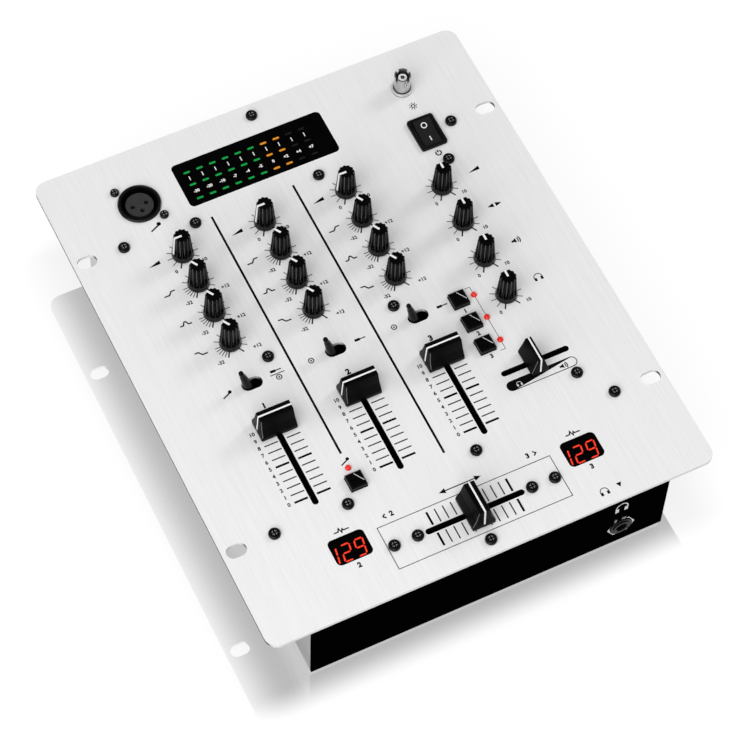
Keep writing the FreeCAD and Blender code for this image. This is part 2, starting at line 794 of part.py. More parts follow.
def screw_form(name, length, head_radius):
    """A screw standing head up, with the underside of its head on the ground plane."""
    head = cylinder(name + "_head", head_radius, "screw_head_height")
    rounding = doc.addObject("Part::Fillet", name + "_rounded")
    rounding.Base = head
    doc.recompute()
    top_edge = 1 + [abs(edge.CenterOfMass.z - head.Height.Value) < NEAR_ZERO and edge.Closed
                    for edge in head.Shape.Edges].index(True)
    rounding.Edges = [(top_edge, SIZES["screw_head_height"] / 2, SIZES["screw_head_height"] / 2)]
    shank = cylinder(name + "_shank", "screw_radius", length, z=f"-({length})")
    slots = []
    for along in ("x", "y"):
        sides = ["screw_cross_length", "screw_cross_width"]
        if along == "y":
            sides.reverse()
        slots.append(box(f"{name}_slot_{along}", *sides, "screw_cross_depth + cut_margin",
                         z="screw_head_height - screw_cross_depth"))
    return cut(name, fuse(name + "_turned", [rounding, shank]), [fuse(name + "_cross", slots)])


def make_screws():
    panel_form = screw_form("panel_screw_form", "panel_screw_length", "screw_head_radius")
    spots = [(x, y, "panel_top") for x, y in PANEL_SCREWS + CROSS_INNER + CROSS_OUTER]
    mic_form = screw_form("mic_screw_form", "panel_screw_length", "mic_screw_head_radius")
    mic_spots = [(x, y, "panel_top") for x, y in MIC_SCREWS]
    node(group("front_screw_sets", [copies("panel_screw_set", panel_form, spots),
                                    copies("mic_screw_set", mic_form, mic_spots)]), "panel_screws")
    case_form = screw_form("case_screw_form", "case_screw_length", "screw_head_radius")
    over = ((1, 0, 0), 180)
    spots = [(x, y, "foot_height", *over) for x, y in FRONT_PLATE_SCREWS + REAR_PLATE_SCREWS]
    spots += [(x, y, "foot_recess", *over) for x, y in FOOT_SPOTS]
    spots += [(x, y, "board_under", *over) for x, y in BOARD_SCREWS]
    node(copies("case_screw_set", case_form, spots), "case_screws")


# Circuit board hung from the panel on spacers

def make_board():
    corners = [
        ("-board_half_width", "board_front"), ("board_half_width", "board_front"),
        ("board_half_width", "board_notch_along"), ("board_notch_across", "board_notch_along"),
        ("board_notch_across", "board_rear"), ("tongue_right", "board_rear"),
        ("tongue_right", "tongue_rear"), ("tongue_left", "tongue_rear"),
        ("tongue_left", "board_rear"), ("-board_half_width", "board_rear"),
    ]
    blank = padded("board_blank", "XY_Plane", corners, "board_thickness")
    place(blank, z="board_under")
    tools = [
        cylinder(f"board_hole_{k}", "screw_hole", "board_thickness + 2 * cut_margin", x, y,
                 "board_under - cut_margin")
        for k, (x, y) in enumerate(BOARD_SCREWS)
    ]
    node(cut("main_board", blank, tools), "main_board")
    spacer = cut("standoff_form", hexagon("standoff_hexagon", "standoff_radius", "standoff_length"),
                 [cylinder("standoff_thread", "screw_hole", "standoff_length + 2 * cut_margin",
                           z="-cut_margin")])
    node(copies("standoffs", spacer, [(x, y, "board_top") for x, y in BOARD_SCREWS]), "board_standoffs")


# Rotary controls: fluted knobs pressed on shafts that run in potentiometer bushings

def make_knob_form():
    body = doc.addObject("PartDesign::Body", "knob_body")
    section = sketch_on(body, "XZ_Plane", "knob_section")
    outline(section, [
        ("knob_bore", "0"), ("knob_base_radius", "0"), ("knob_base_radius", "knob_lip"),
        ("knob_neck_radius", "knob_skirt"), ("knob_top_radius", "knob_height"), ("0", "knob_height"),
        ("0", "shaft_grip"), ("knob_bore", "shaft_grip"),
    ])
    doc.recompute()
    turned = body.newObject("PartDesign::Revolution", "knob_turned")
    turned.Profile = section
    turned.ReferenceAxis = (section, ["V_Axis"])
    turned.Angle = 360
    doc.recompute()
    smooth_volume = turned.Shape.Volume
    flute_sketch = sketch_on(body, "XY_Plane", "flute_section")
    bind(flute_sketch, **{"AttachmentOffset.Base.z": "knob_height"})
    reach = SIZES["knob_top_radius"] + SIZES["flute_radius"] - SIZES["flute_depth"]
    centre = FreeCAD.Vector(0, reach, 0)
    flute_sketch.addGeometry(Part.Circle(centre, FreeCAD.Vector(0, 0, 1), SIZES["flute_radius"]), False)
    flute_sketch.addConstraint(Sketcher.Constraint("PointOnObject", 0, 3, -2))
    at = flute_sketch.addConstraint(Sketcher.Constraint("DistanceY", -1, 1, 0, 3, reach))
    wide = flute_sketch.addConstraint(Sketcher.Constraint("Radius", 0, SIZES["flute_radius"]))
    bind(flute_sketch, **{
        f"Constraints[{at}]": "knob_top_radius + flute_radius - flute_depth",
        f"Constraints[{wide}]": "flute_radius"})
    doc.recompute()
    flute = body.newObject("PartDesign::Pocket", "flute")
    flute.Profile = flute_sketch
    bind(flute, Length="knob_height - knob_skirt")
    doc.recompute()
    flutes = body.newObject("PartDesign::PolarPattern", "flutes")
    flutes.Originals = [flute]
    flutes.Axis = (section, ["V_Axis"])
    flutes.Angle = 360
    bind(flutes, Occurrences="flute_count")
    body.Tip = flutes
    doc.recompute()
    if not body.Shape.Volume < smooth_volume:
        raise RuntimeError("the flutes cut nothing from the knob")
    shaft_drop = "panel_top + knob_gap - board_top - pot_floor - run_clearance"
    shaft = cylinder("knob_shaft", "shaft_radius", f"shaft_grip + {shaft_drop}", z=f"-({shaft_drop})")
    return group("knob_form", [body, shaft])


def make_rotary_controls():
    form = make_knob_form()
    for name, (x, y) in KNOB_SPOTS.items():
        node(copy(name + "_seated", form, x, y, "panel_top + knob_gap"), name)
    case = box("pot_case", "pot_width", "pot_width", "pot_height")
    bushing = cylinder("pot_bushing", "bushing_radius",
                       "panel_top - bushing_drop - board_top - pot_height", z="pot_height")
    bore = cylinder("pot_shaft_bore", "pot_bore", "panel_top - board_top", z="pot_floor")
    pot = cut("pot_form", fuse("pot_solid", [case, bushing]), [bore])
    node(copies("pots", pot, [(x, y, "board_top") for x, y in KNOB_SPOTS.values()]), "pot_bodies")


# Faders: grooved bodies, blade stems and ridged caps

def make_cap_form(cap):
    """A cap with its ridge along X, waisted sides and leaning ends."""
    half = f"{cap}_width / 2"
    waist = f"{cap}_waist_width / 2"
    ridge = f"{cap}_ridge_width / 2"
    side_view = padded(cap + "_side_view", "YZ_Plane", [
        (f"-{half}", "0"), (half, "0"), (half, f"{cap}_skirt"), (waist, f"{cap}_waist_height"),
        (ridge, f"{cap}_height"), (f"-{ridge}", f"{cap}_height"), (f"-{waist}", f"{cap}_waist_height"),
        (f"-{half}", f"{cap}_skirt")], f"{cap}_length", both_ways=True)
    foot = f"{cap}_length / 2"
    top = f"{cap}_ridge_length / 2"
    end_view = padded(cap + "_end_view", "XZ_Plane", [
        (f"-{foot}", "0"), (foot, "0"), (top, f"{cap}_height"), (f"-{top}", f"{cap}_height")],
        f"{cap}_width", both_ways=True)
    meet = doc.addObject("Part::Common", cap + "_solid")
    meet.Base = side_view
    meet.Tool = end_view
    socket = box(cap + "_socket", "stem_thickness + 2 * stem_fit", "stem_length + 2 * stem_fit",
                 "stem_grip + cut_margin", z="-cut_margin")
    return cut(cap + "_form", meet, [socket])


def make_fader_stem(name, foot):
    """A blade from its foot in the groove up into a cap that stands on the ground plane."""
    return box(name, "stem_thickness", "stem_length", f"cap_under + stem_grip - ({foot})",
               z=f"{foot} - cap_under")


def fader_body(name, slot, ear, level, x, y, along):
    """A block with a groove along its slot, seated on a level."""
    long = f"{slot} + 2 * {ear}"
    groove = "stem_thickness + 2 * slide_clearance"
    sides = [long, "fader_body_width"]
    groove_sides = [slot, groove]
    if along == "y":
        sides.reverse()
        groove_sides.reverse()
    block = box(name + "_block", *sides, "fader_body_height", x, y, level)
    channel = box(name + "_groove", *groove_sides, "fader_channel_depth + cut_margin", x, y,
                  f"{level} + fader_body_height - fader_channel_depth")
    return cut(name, block, [channel])


def make_faders():
    cap = make_cap_form("cap")
    long_stem = make_fader_stem("long_stem", "stem_foot")
    channel_form = group("channel_fader_form", [cap, long_stem])
    mix_form = group("mix_fader_form", [make_cap_form("mix_cap"), long_stem])
    cross_form = group("crossfader_form", [cap, make_fader_stem("short_stem", "cross_stem_foot")])
    for k in range(CHANNELS):
        seated = copy(f"fader_seated_{k}", channel_form, column(k), "fader_start", "cap_under")
        node(seated, f"channel_fader_{k + 1}")
    sideways = ((0, 0, 1), 90)
    node(copy("mix_seated", mix_form, "mix_across + mix_rest", "mix_along", "cap_under", *sideways),
         "cue_mix_fader")
    node(copy("cross_seated", cross_form, "0", "cross_along", "cap_under", *sideways), "crossfader")
    bodies = [
        fader_body(f"fader_body_{k}", "fader_slot", "fader_ear", "board_top", column(k), "fader_middle", "y")
        for k in range(CHANNELS)
    ]
    bodies.append(fader_body("mix_body", "mix_slot", "fader_ear", "board_top",
                             "mix_across", "mix_along", "x"))
    cross_block = fader_body("cross_body", "fader_slot", "cross_ear",
                             "cross_plate_under - fader_body_height", "0", "cross_along", "x")
    threads = [
        cylinder(f"cross_thread_{k}", "screw_hole", "fader_body_height + 2 * cut_margin", x, y,
                 "cross_plate_under - fader_body_height - cut_margin")
        for k, (x, y) in enumerate(CROSS_INNER)
    ]
    bodies.append(cut("cross_body_threaded", cross_block, threads))
    node(group("fader_blocks", bodies), "fader_bodies")


def make_crossfader_plate():
    blank = box("cross_blank", "cross_plate_length", "cross_plate_width", "cross_plate_thickness",
                "0", "cross_along", "cross_plate_under")
    tall = "cross_plate_thickness + 2 * cut_margin"
    low = "cross_plate_under - cut_margin"
    tools = [obround("cross_slot", "fader_slot", "fader_slot_width", tall, "0", "cross_along", low)]
    for k, (x, y) in enumerate(CROSS_INNER + CROSS_OUTER):
        tools.append(cylinder(f"cross_hole_{k}", "screw_hole", tall, x, y, low))
    node(cut("cross_plate", blank, tools), "crossfader_plate")


# Selector levers rocking on pins in their switch bodies

def make_selectors():
    """Each lever stands on its pivot and leans to the left at rest."""
    tip = "lever_length - lever_tip_radius"
    lever = fuse("lever_form", [
        ball("lever_root", "lever_radius"),
        cylinder("lever_stalk", "lever_radius", "lever_neck"),
        cone("lever_taper", "lever_radius", "lever_tip_radius", f"{tip} - lever_neck", "lever_neck"),
        ball("lever_tip", "lever_tip_radius", z=tip),
        cylinder("lever_pin", "lever_pin_radius", "lever_pin_length", y="-lever_pin_length / 2", along="y"),
    ])
    for k in range(CHANNELS):
        seated = copy(f"lever_seated_{k}", lever, column(k), "lever_along", "panel_top - lever_pivot_depth",
                      (0, 1, 0), -SIZES["lever_tilt"])
        bind(seated, **{"Placement.Rotation.Angle": "-lever_tilt"})
        node(seated, f"selector_lever_{k + 1}")
    block = box("selector_block", "selector_length", "selector_width", "selector_height")
    cavity = box("selector_cavity", "selector_length - 2 * selector_wall",
                 "selector_width - 2 * selector_cheek", "selector_height - selector_floor + cut_margin",
                 z="selector_floor")
    pin_bore = cylinder("selector_pin_bore", "lever_pin_radius + run_clearance",
                        "selector_width + 2 * cut_margin", y="-selector_width / 2 - cut_margin",
                        z="panel_top - lever_pivot_depth - board_top", along="y")
    body = cut("selector_form", block, [fuse("selector_space", [cavity, pin_bore])])
    spots = [(column(k), "lever_along", "board_top") for k in range(CHANNELS)]
    node(copies("selectors", body, spots), "selector_switch_bodies")


# Square push buttons on sprung switches, with a status lamp beside each

def make_buttons():
    block = box("button_block", "button_width", "button_width", "button_skirt + button_rise")
    bevelled = doc.addObject("Part::Chamfer", "button_bevelled")
    bevelled.Base = block
    doc.recompute()
    top = block.Height.Value
    rim = [k for k, edge in enumerate(block.Shape.Edges, start=1)
           if abs(edge.CenterOfMass.z - top) < NEAR_ZERO]
    bevelled.Edges = [(k, SIZES["button_bevel"], SIZES["button_bevel"]) for k in rim]
    plunger_length = "button_under - board_top - plunger_room"
    plunger = box("button_plunger", "plunger_width", "plunger_width", plunger_length,
                  z=f"-({plunger_length})")
    form = fuse("button_form", [bevelled, plunger])
    for name, (x, y) in BUTTON_SPOTS.items():
        node(copy(name + "_seated", form, x, y, "button_under"), name)
    switch_height = "button_switch_top - board_top"
    case = box("button_switch_case", "button_switch_width", "button_switch_width", switch_height)
    well_width = "plunger_width + 2 * slide_clearance"
    well = box("button_switch_well", well_width, well_width, f"{switch_height} + cut_margin",
               z="button_switch_floor")
    switch = cut("button_switch_form", case, [well])
    node(copies("button_switches", switch, [(x, y, "board_top") for x, y in BUTTON_SPOTS.values()]),
         "button_switch_bodies")
    lamp = fuse("status_lamp_form", [
        cylinder("status_lamp_post", "lamp_radius", "panel_top - board_top"),
        ball("status_lamp_dome", "lamp_radius", z="panel_top - board_top"),
    ])
    node(copies("lamps", lamp, [(x, y, "board_top") for x, y in LAMP_SPOTS]), "status_leds")


# Smoked windows over the level meter and the two tempo displays

def make_displays():
    panes = []
    for name, (wide, long, x, y) in WINDOWS.items():
        lens = rounded_box(name + "_lens", f"{wide} - 2 * window_gap", f"{long} - 2 * window_gap",
                           "panel_thickness - window_drop", "window_corner - window_gap",
                           x, y, "panel_under")
        flange = box(name + "_flange", f"{wide} + 2 * window_margin", f"{long} + 2 * window_margin",
                     "window_flange", x, y, "window_under")
        panes.append(fuse(name + "_pane", [lens, flange]))
    node(group("window_set", panes), "display_windows")
    modules = []
    for name in ("tempo_left", "tempo_right"):
        wide, long, x, y = WINDOWS[name]
        modules.append(box(name + "_module", f"{wide} - 2 * tempo_module_inset",
                           f"{long} - 2 * tempo_module_inset", "window_under - board_top", x, y, "board_top"))
    node(group("module_set", modules), "tempo_displays")
    bar = box("bar_form", "bar_width", "bar_length", "window_under - board_top")
    spots = [
        (f"bar_start + {k} * bar_pitch", along, "board_top")
        for along in ("bar_rear", "bar_middle", "bar_front")
        for k in range(METER_COLUMNS)
    ]
    node(copies("bars", bar, spots), "meter_leds")


# Microphone socket: a shell behind the panel with a contact insert

def make_mic_socket():
    flange = box("mic_flange", "mic_flange_width", "mic_flange_length", "mic_flange_thickness",
                 "mic_across", "mic_along", "panel_under - mic_flange_thickness")
    ring = cylinder("mic_ring", "mic_ring_radius", "panel_thickness + mic_ring_rise + mic_flange_thickness",
                    "mic_across", "mic_along", "panel_under - mic_flange_thickness")
    barrel = cylinder("mic_barrel", "mic_body_radius", "mic_body_depth",
                      "mic_across", "mic_along", "panel_under - mic_body_depth")
    groove = cylinder("mic_groove", "mic_groove_radius", "mic_groove_depth + mic_ring_rise + cut_margin",
                      "mic_across", "mic_along", "mic_groove_floor")
    screw_holes = [
        cylinder(f"mic_flange_hole_{k}", "screw_hole", "mic_flange_thickness + 2 * cut_margin", x, y,
                 "panel_under - mic_flange_thickness - cut_margin")
        for k, (x, y) in enumerate(MIC_SCREWS)
    ]
    shell = cut("mic_shell", fuse("mic_turned", [flange, ring, barrel]), [groove] + screw_holes)
    node(shell, "mic_socket_shell")
    insert_height = "mic_groove_depth - mic_face_drop"
    core = cylinder("mic_core", "mic_face_radius", insert_height)
    bores = []
    for k in range(MIC_PINS):
        around = math.pi * (k - 2) / 2
        bores.append(cylinder(f"mic_pin_bore_{k}", "mic_pin_radius", "mic_pin_depth + cut_margin",
                              f"mic_pin_circle * {math.cos(around):.6f}",
                              f"mic_pin_circle * {math.sin(around):.6f}",
                              f"{insert_height} - mic_pin_depth"))
    insert = copy("mic_insert", cut("mic_insert_form", core, bores), "mic_across", "mic_along",
                  "mic_groove_floor")
    node(insert, "mic_socket_insert")


# Bayonet socket for a gooseneck lamp

def make_lamp_socket():
    tube = cylinder("lamp_tube", "lamp_tube_radius", "lamp_tube_height + lamp_tube_depth",
                    z="-lamp_tube_depth")
    seat = cylinder("lamp_seat", "lamp_seat_radius", "lamp_seat_height")
    lug_reach = "lamp_tube_radius + lamp_lug_reach"
    lugs = cylinder("lamp_lugs", "lamp_lug_radius", f"2 * ({lug_reach})", y=f"-({lug_reach})",
                    z="lamp_lug_height", along="y")
    bore = cylinder("lamp_bore", "lamp_tube_bore", "lamp_bore_depth + cut_margin",
                    z="lamp_tube_height - lamp_bore_depth")
    notch = box("lamp_notch", "2 * (lamp_tube_radius + cut_margin)", "lamp_notch_width",
                "lamp_notch_depth + cut_margin", z="lamp_tube_height - lamp_notch_depth")
    notches = []
    for k in range(LAMP_NOTCH_PAIRS):
        quarter = 180 / LAMP_NOTCH_PAIRS * k
        notches.append(copy(f"lamp_notch_{k}", notch, degrees=quarter + SIZES["lamp_notch_turn"]))
        bind(notches[-1], **{"Placement.Rotation.Angle": f"{quarter} + lamp_notch_turn"})
    socket = cut("lamp_socket_form", fuse("lamp_turned", [tube, seat, lugs]), [bore] + notches)
    spot = ("lamp_socket_across", "lamp_socket_along")
    node(copy("lamp_socket_seated", socket, *spot, "panel_top"), "lamp_socket")
    core = fuse("lamp_core", [
        cylinder("lamp_core_base", "lamp_tube_bore - run_clearance", "lamp_insulator_base"),
        cylinder("lamp_core_post", "lamp_insulator_radius", "lamp_insulator_height"),
    ])
    contact = cylinder("lamp_contact", "lamp_contact_radius", "lamp_insulator_height",
                       z="lamp_insulator_base")
    insulator = cut("lamp_insulator_form", core, [contact])
    node(copy("lamp_insulator_seated", insulator, *spot, "lamp_bore_floor"), "lamp_socket_insulator")
    blank = hexagon("lamp_nut_blank", "lamp_nut_radius", "lamp_nut_height",
                    *spot, "panel_under - lamp_nut_height")
    thread = cylinder("lamp_nut_thread", "lamp_tube_radius + run_clearance",
                      "lamp_nut_height + 2 * cut_margin",
                      *spot, "panel_under - lamp_nut_height - cut_margin")
    node(cut("lamp_nut", blank, [thread]), "lamp_socket_nut")


# Power switch: a bezel with a rocker on two pins

def make_power_switch():
    spot = ("power_across", "power_along")
    pivot = "panel_top - rocker_pivot_depth"
    bezel = rounded_box("power_bezel", "power_bezel_width", "power_bezel_length", "power_bezel_height",
                        "power_bezel_corner", *spot, "panel_top")
    body = box("power_body", "power_body_width", "power_body_length", "power_body_depth + panel_thickness",
               *spot, "panel_under - power_body_depth")
    cavity = box("power_cavity", "power_cavity_width", "power_cavity_length",
                 "power_cavity_depth + power_bezel_height + cut_margin", *spot,
                 "panel_top - power_cavity_depth")
    pin_bore = cylinder("power_pin_bore", "rocker_pin_radius + run_clearance", "power_body_width",
                        "power_across - power_body_width / 2", "power_along", pivot, along="x")
    space = fuse("power_space", [cavity, pin_bore])
    node(cut("power_housing", fuse("power_moulded", [bezel, body]), [space]), "power_switch_housing")
    paddle = padded("rocker_paddle", "YZ_Plane", [
        ("-rocker_half_length", "rocker_end_rise"), ("-rocker_foot_half", "-rocker_foot_drop"),
        ("rocker_foot_half", "-rocker_foot_drop"), ("rocker_half_length", "rocker_end_rise"),
        ("0", "rocker_mid_rise")], "rocker_width", both_ways=True)
    pin = cylinder("rocker_pin", "rocker_pin_radius", "rocker_pin_length", x="-rocker_pin_length / 2",
                   along="x")
    rocker = copy("rocker_seated", fuse("rocker_form", [paddle, pin]), *spot, pivot,
                  (1, 0, 0), SIZES["rocker_tilt"])
    bind(rocker, **{"Placement.Rotation.Angle": "rocker_tilt"})
    node(rocker, "power_rocker")


# Headphone jack behind the front plate

def make_phones_jack():
    spot = ("phones_across", "front_inner", "phones_level")
    body = box("phones_body", "phones_body_width", "phones_body_length", "phones_body_width",
               "phones_across", "front_inner + phones_body_length / 2",
               "phones_level - phones_body_width / 2")
    out = "sheet_thickness + phones_bushing_reach"
    bushing = cylinder("phones_bushing", "phones_bushing_radius", out, *spot, along="-y")
    bore = cylinder("phones_bore", "phones_bore_radius", f"phones_bore_length + {out} + cut_margin",
                    "phones_across", f"front_inner - ({out}) - cut_margin", "phones_level", along="y")
    node(cut("phones", fuse("phones_solid", [body, bushing]), [bore]), "phones_jack")
    blank = hexagon("phones_nut_blank", "phones_nut_radius", "phones_nut_height",
                    "phones_across", "front_face", "phones_level", along="-y")
    thread = cylinder("phones_nut_thread", "phones_bushing_radius + run_clearance",
                      "phones_nut_height + 2 * cut_margin", "phones_across", "front_face + cut_margin",
                      "phones_level", along="-y")
    node(cut("phones_nut_threaded", blank, [thread]), "phones_nut")


# Rear connectors and the board that carries them

def make_rear_connectors():
    housing = box("jack_housing", "jack_body_width", "jack_body_depth", "jack_body_height",
                  "0", "-jack_body_depth / 2", "-jack_body_height / 2")
    out = "sheet_thickness + jack_barrel_reach"
    barrel = cylinder("jack_barrel", "jack_barrel_radius", out, along="y")
    bore = cylinder("jack_bore", "jack_bore_radius", "jack_bore_length + cut_margin",
                    y=f"{out} - jack_bore_length", along="y")
    jack = cut("jack_form", fuse("jack_solid", [housing, barrel]), [bore])
    node(copies("jacks", jack, [(x, "rear_inner", z) for x, z in JACK_SPOTS]), "phono_jacks")
    last = jack_column(JACK_COLUMNS - 1)
    margin = "jack_body_width + 2 * rear_board_margin"
    node(box("rear_board_sheet", f"{last} - jack_start + {margin}", "rear_board_thickness",
             "jack_row_pitch + jack_body_height",
             f"(jack_start + {last}) / 2", "rear_board_face - rear_board_thickness / 2",
             "jack_lower - jack_body_height / 2"), "rear_board")
    bolt = cylinder("ground_bolt", "ground_bolt_radius",
                    "ground_bolt_depth + sheet_thickness + ground_bolt_reach",
                    y="-ground_bolt_depth", along="y")
    knob = cylinder("ground_knob", "ground_knob_radius", "ground_knob_length",
                    y="sheet_thickness + ground_knob_start", along="y")
    washer = cylinder("ground_washer", "ground_nut_radius", "ground_knob_start",
                      y="sheet_thickness", along="y")
    nut = hexagon("ground_nut", "ground_nut_radius", "ground_nut_height", along="-y")
    post = fuse("ground_form", [bolt, knob, washer, nut])
    node(copies("ground_posts", post, [("ground_across", "rear_inner", z) for z in GROUND_LEVELS]),
         "ground_terminals")
    make_power_inlet()


def make_power_inlet():
    housing = box("inlet_housing", "inlet_body_width", "inlet_body_depth", "inlet_body_width",
                  "0", "-inlet_body_depth / 2", "-inlet_body_width / 2")
    barrel = cylinder("inlet_barrel", "inlet_barrel_radius", "sheet_thickness", along="y")
    collar = cylinder("inlet_collar", "inlet_collar_radius", "inlet_collar_reach",
                      y="sheet_thickness", along="y")
    mouth = "sheet_thickness + inlet_collar_reach"
    bore = cylinder("inlet_bore", "inlet_bore_radius", "inlet_bore_length + cut_margin",
                    y=f"{mouth} - inlet_bore_length", along="y")
    shell = cut("inlet_shell", fuse("inlet_solid", [housing, barrel, collar]), [bore])
    pin = cylinder("inlet_pin", "inlet_pin_radius", "inlet_pin_length",
                   y=f"{mouth} - inlet_bore_length", along="y")
    form = group("inlet_form", [shell, pin])
    seated = copy("inlet_seated", form, "inlet_across", "rear_inner", "foot_height + inlet_height")
    node(seated, "power_inlet")


# Flat cable from the main board down and back to the rear board

def make_ribbon():
    inner = "ribbon_start + ribbon_thickness"
    strip = padded("ribbon_strip", "YZ_Plane", [
        ("ribbon_start", "board_under"), ("ribbon_start", "ribbon_level + ribbon_bend"),
        ("ribbon_start + ribbon_bend", "ribbon_level"), ("rear_board_front", "ribbon_level"),
        ("rear_board_front", "ribbon_level + ribbon_thickness"),
        (f"{inner} + ribbon_bend - ribbon_thickness / 2", "ribbon_level + ribbon_thickness"),
        (inner, "ribbon_level + ribbon_bend + ribbon_thickness / 2"), (inner, "board_under")],
        "ribbon_width", both_ways=True)
    place(strip, x="ribbon_across")
    node(strip, "ribbon_cable")


def check_document():
    for obj in doc.Objects:
        if "Invalid" in obj.State or "Error" in obj.State:
            raise RuntimeError(f"{obj.Label} failed: {obj.State}")
    for obj in nodes:
        if obj.Shape.isNull() or not obj.Shape.isValid() or not obj.Shape.Solids:
            raise RuntimeError(f"{obj.Label} has no valid solid")


def write_parts():
    os.makedirs("parts", exist_ok=True)
    for obj in nodes:
        obj.Shape.exportStep(f"parts/{obj.Label}.step")


make_top_panel()
make_case()
make_end_plates()
make_feet()
make_screws()
make_board()
make_rotary_controls()
make_faders()
make_crossfader_plate()
make_selectors()
make_buttons()
make_displays()
make_mic_socket()
make_lamp_socket()
make_power_switch()
make_phones_jack()
make_rear_connectors()
make_ribbon()
doc.recompute()
check_document()
write_parts()
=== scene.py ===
import json
import math
from types import SimpleNamespace

import bmesh
import bpy
from mathutils import Matrix, Vector


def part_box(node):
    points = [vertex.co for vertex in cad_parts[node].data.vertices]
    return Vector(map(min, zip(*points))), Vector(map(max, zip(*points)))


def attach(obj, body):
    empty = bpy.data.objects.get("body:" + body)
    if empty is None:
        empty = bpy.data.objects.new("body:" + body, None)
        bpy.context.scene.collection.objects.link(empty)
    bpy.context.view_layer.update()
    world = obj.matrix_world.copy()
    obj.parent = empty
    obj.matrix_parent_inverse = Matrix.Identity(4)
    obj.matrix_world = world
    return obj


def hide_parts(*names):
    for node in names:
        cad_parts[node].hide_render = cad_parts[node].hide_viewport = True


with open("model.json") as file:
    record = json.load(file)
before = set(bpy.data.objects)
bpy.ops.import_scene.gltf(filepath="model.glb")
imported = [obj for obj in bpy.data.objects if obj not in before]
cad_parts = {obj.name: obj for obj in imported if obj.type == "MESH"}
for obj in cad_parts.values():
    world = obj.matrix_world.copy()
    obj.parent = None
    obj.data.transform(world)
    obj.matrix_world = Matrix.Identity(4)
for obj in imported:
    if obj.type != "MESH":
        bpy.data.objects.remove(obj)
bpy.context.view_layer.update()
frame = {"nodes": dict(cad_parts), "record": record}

# Shapes are written in millimetres in the part's frame, and become metres when a mesh is made
MM = 0.001
CASE = "case"
CHANNELS = (1, 2, 3)
# Knobs of a channel with the turn of their pointers, and knobs of the master strip, each with its sign
BANDS = {"gain": (90, "wedge"), "high": (32, "high"), "mid": (32, "mid"), "low": (32, "low")}
MASTERS = {"master": "wedge", "balance": "balance", "booth": "speaker", "cue_level": "phones"}


def middle(node):
    """The middle of a part's box at rest."""
    low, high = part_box(node)
    return (low + high) / 2 / MM


def top(node):
    """The highest level of a part at rest."""
    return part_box(node)[1].z / MM


PANEL_TOP = top("top_panel")
LENS_TOP = top("display_windows")


# Materials

def srgb(red, green, blue):
    """A linear colour from screen levels."""
    linear = []
    for level in (red, green, blue):
        share = level / 255
        linear.append(share / 12.92 if share <= 0.04045 else ((share + 0.055) / 1.055) ** 2.4)
    return (*linear, 1)


def shade(colour):
    """A grey from a single level; a full colour stays as it is."""
    return colour if isinstance(colour, tuple) else (colour, colour, colour, 1)


def set_socket(tree, socket, value):
    """Links a socket to another, or gives it a number or colour of its own."""
    if isinstance(value, bpy.types.NodeSocket):
        tree.links.new(value, socket)
    else:
        socket.default_value = value


def set_sockets(tree, node, **values):
    """Sets sockets by their names, written with underscores."""
    for name, value in values.items():
        set_socket(tree, node.inputs[name.replace("_", " ")], value)


def add_node(tree, kind, *sockets, **named):
    """A shader node; lower case names are its settings, and all else goes to its sockets."""
    node = tree.nodes.new("ShaderNode" + kind)
    for name, value in named.items():
        if name.islower():
            setattr(node, name, value)
    for socket, value in zip(node.inputs, sockets):
        set_socket(tree, socket, value)
    set_sockets(tree, node, **{name: value for name, value in named.items() if not name.islower()})
    return node


def work_out(tree, operation, *values):
    return add_node(tree, "Math", *values, operation=operation).outputs["Value"]


def new_material(name):
    material = bpy.data.materials.new(name)
    material.use_nodes = True
    tree = material.node_tree
    return material, tree, tree.nodes["Principled BSDF"]


GRAIN_RANGE = (0.3, 0.7)


def noise(tree, scale, stretch=(1, 1, 1)):
    """A noise field in the part's own metres."""
    place = add_node(tree, "TexCoord").outputs["Object"]
    stretched = add_node(tree, "Mapping", Vector=place, Scale=stretch).outputs["Vector"]
    return add_node(tree, "TexNoise", Vector=stretched, Scale=scale, Detail=3).outputs["Fac"]


def ramp(tree, grain, dark, light):
    """A colour that follows a grain."""
    node = add_node(tree, "ValToRGB", Fac=grain)
    for stop, position, colour in zip(node.color_ramp.elements, GRAIN_RANGE, (dark, light)):
        stop.position = position
        stop.color = shade(colour)
    return node.outputs["Color"]


def spread(tree, grain, low, high):
    """A number that follows a grain."""
    return add_node(tree, "MapRange", Value=grain, From_Min=GRAIN_RANGE[0], From_Max=GRAIN_RANGE[1],
                    To_Min=low, To_Max=high).outputs["Result"]


def add_bump(tree, shader, height, strength, depth=0.00005):
    relief = add_node(tree, "Bump", Height=height, Strength=strength, Distance=depth)
    set_sockets(tree, shader, Normal=relief.outputs["Normal"])


def surface(name, dark, light, rough, scale, metallic=0.0, specular=0.5, bump=0.0, glow=0.0):
    """A finish whose colour, gloss and relief all follow one grain."""
    material, tree, shader = new_material(name)
    grain = noise(tree, scale)
    colour = ramp(tree, grain, dark, light)
    set_sockets(tree, shader, Base_Color=colour, Roughness=spread(tree, grain, *rough),
                Metallic=metallic, Specular_IOR_Level=specular)
    if bump:
        add_bump(tree, shader, grain, bump)
    if glow:
        set_sockets(tree, shader, Emission_Color=colour, Emission_Strength=glow)
    return material


def facing_share(tree, axis, nothing, all_of_it):
    """How far a face is turned along an axis, between two parts of its normal."""
    normal = add_node(tree, "NewGeometry").outputs["True Normal"]
    part = add_node(tree, "SeparateXYZ", Vector=normal).outputs[axis]
    return add_node(tree, "MapRange", Value=part, From_Min=nothing, From_Max=all_of_it).outputs["Result"]


def blend(tree, share, first, second):
    """A colour between two others."""
    return add_node(tree, "Mix", data_type="RGBA", Factor=share, A=first, B=second).outputs["Result"]


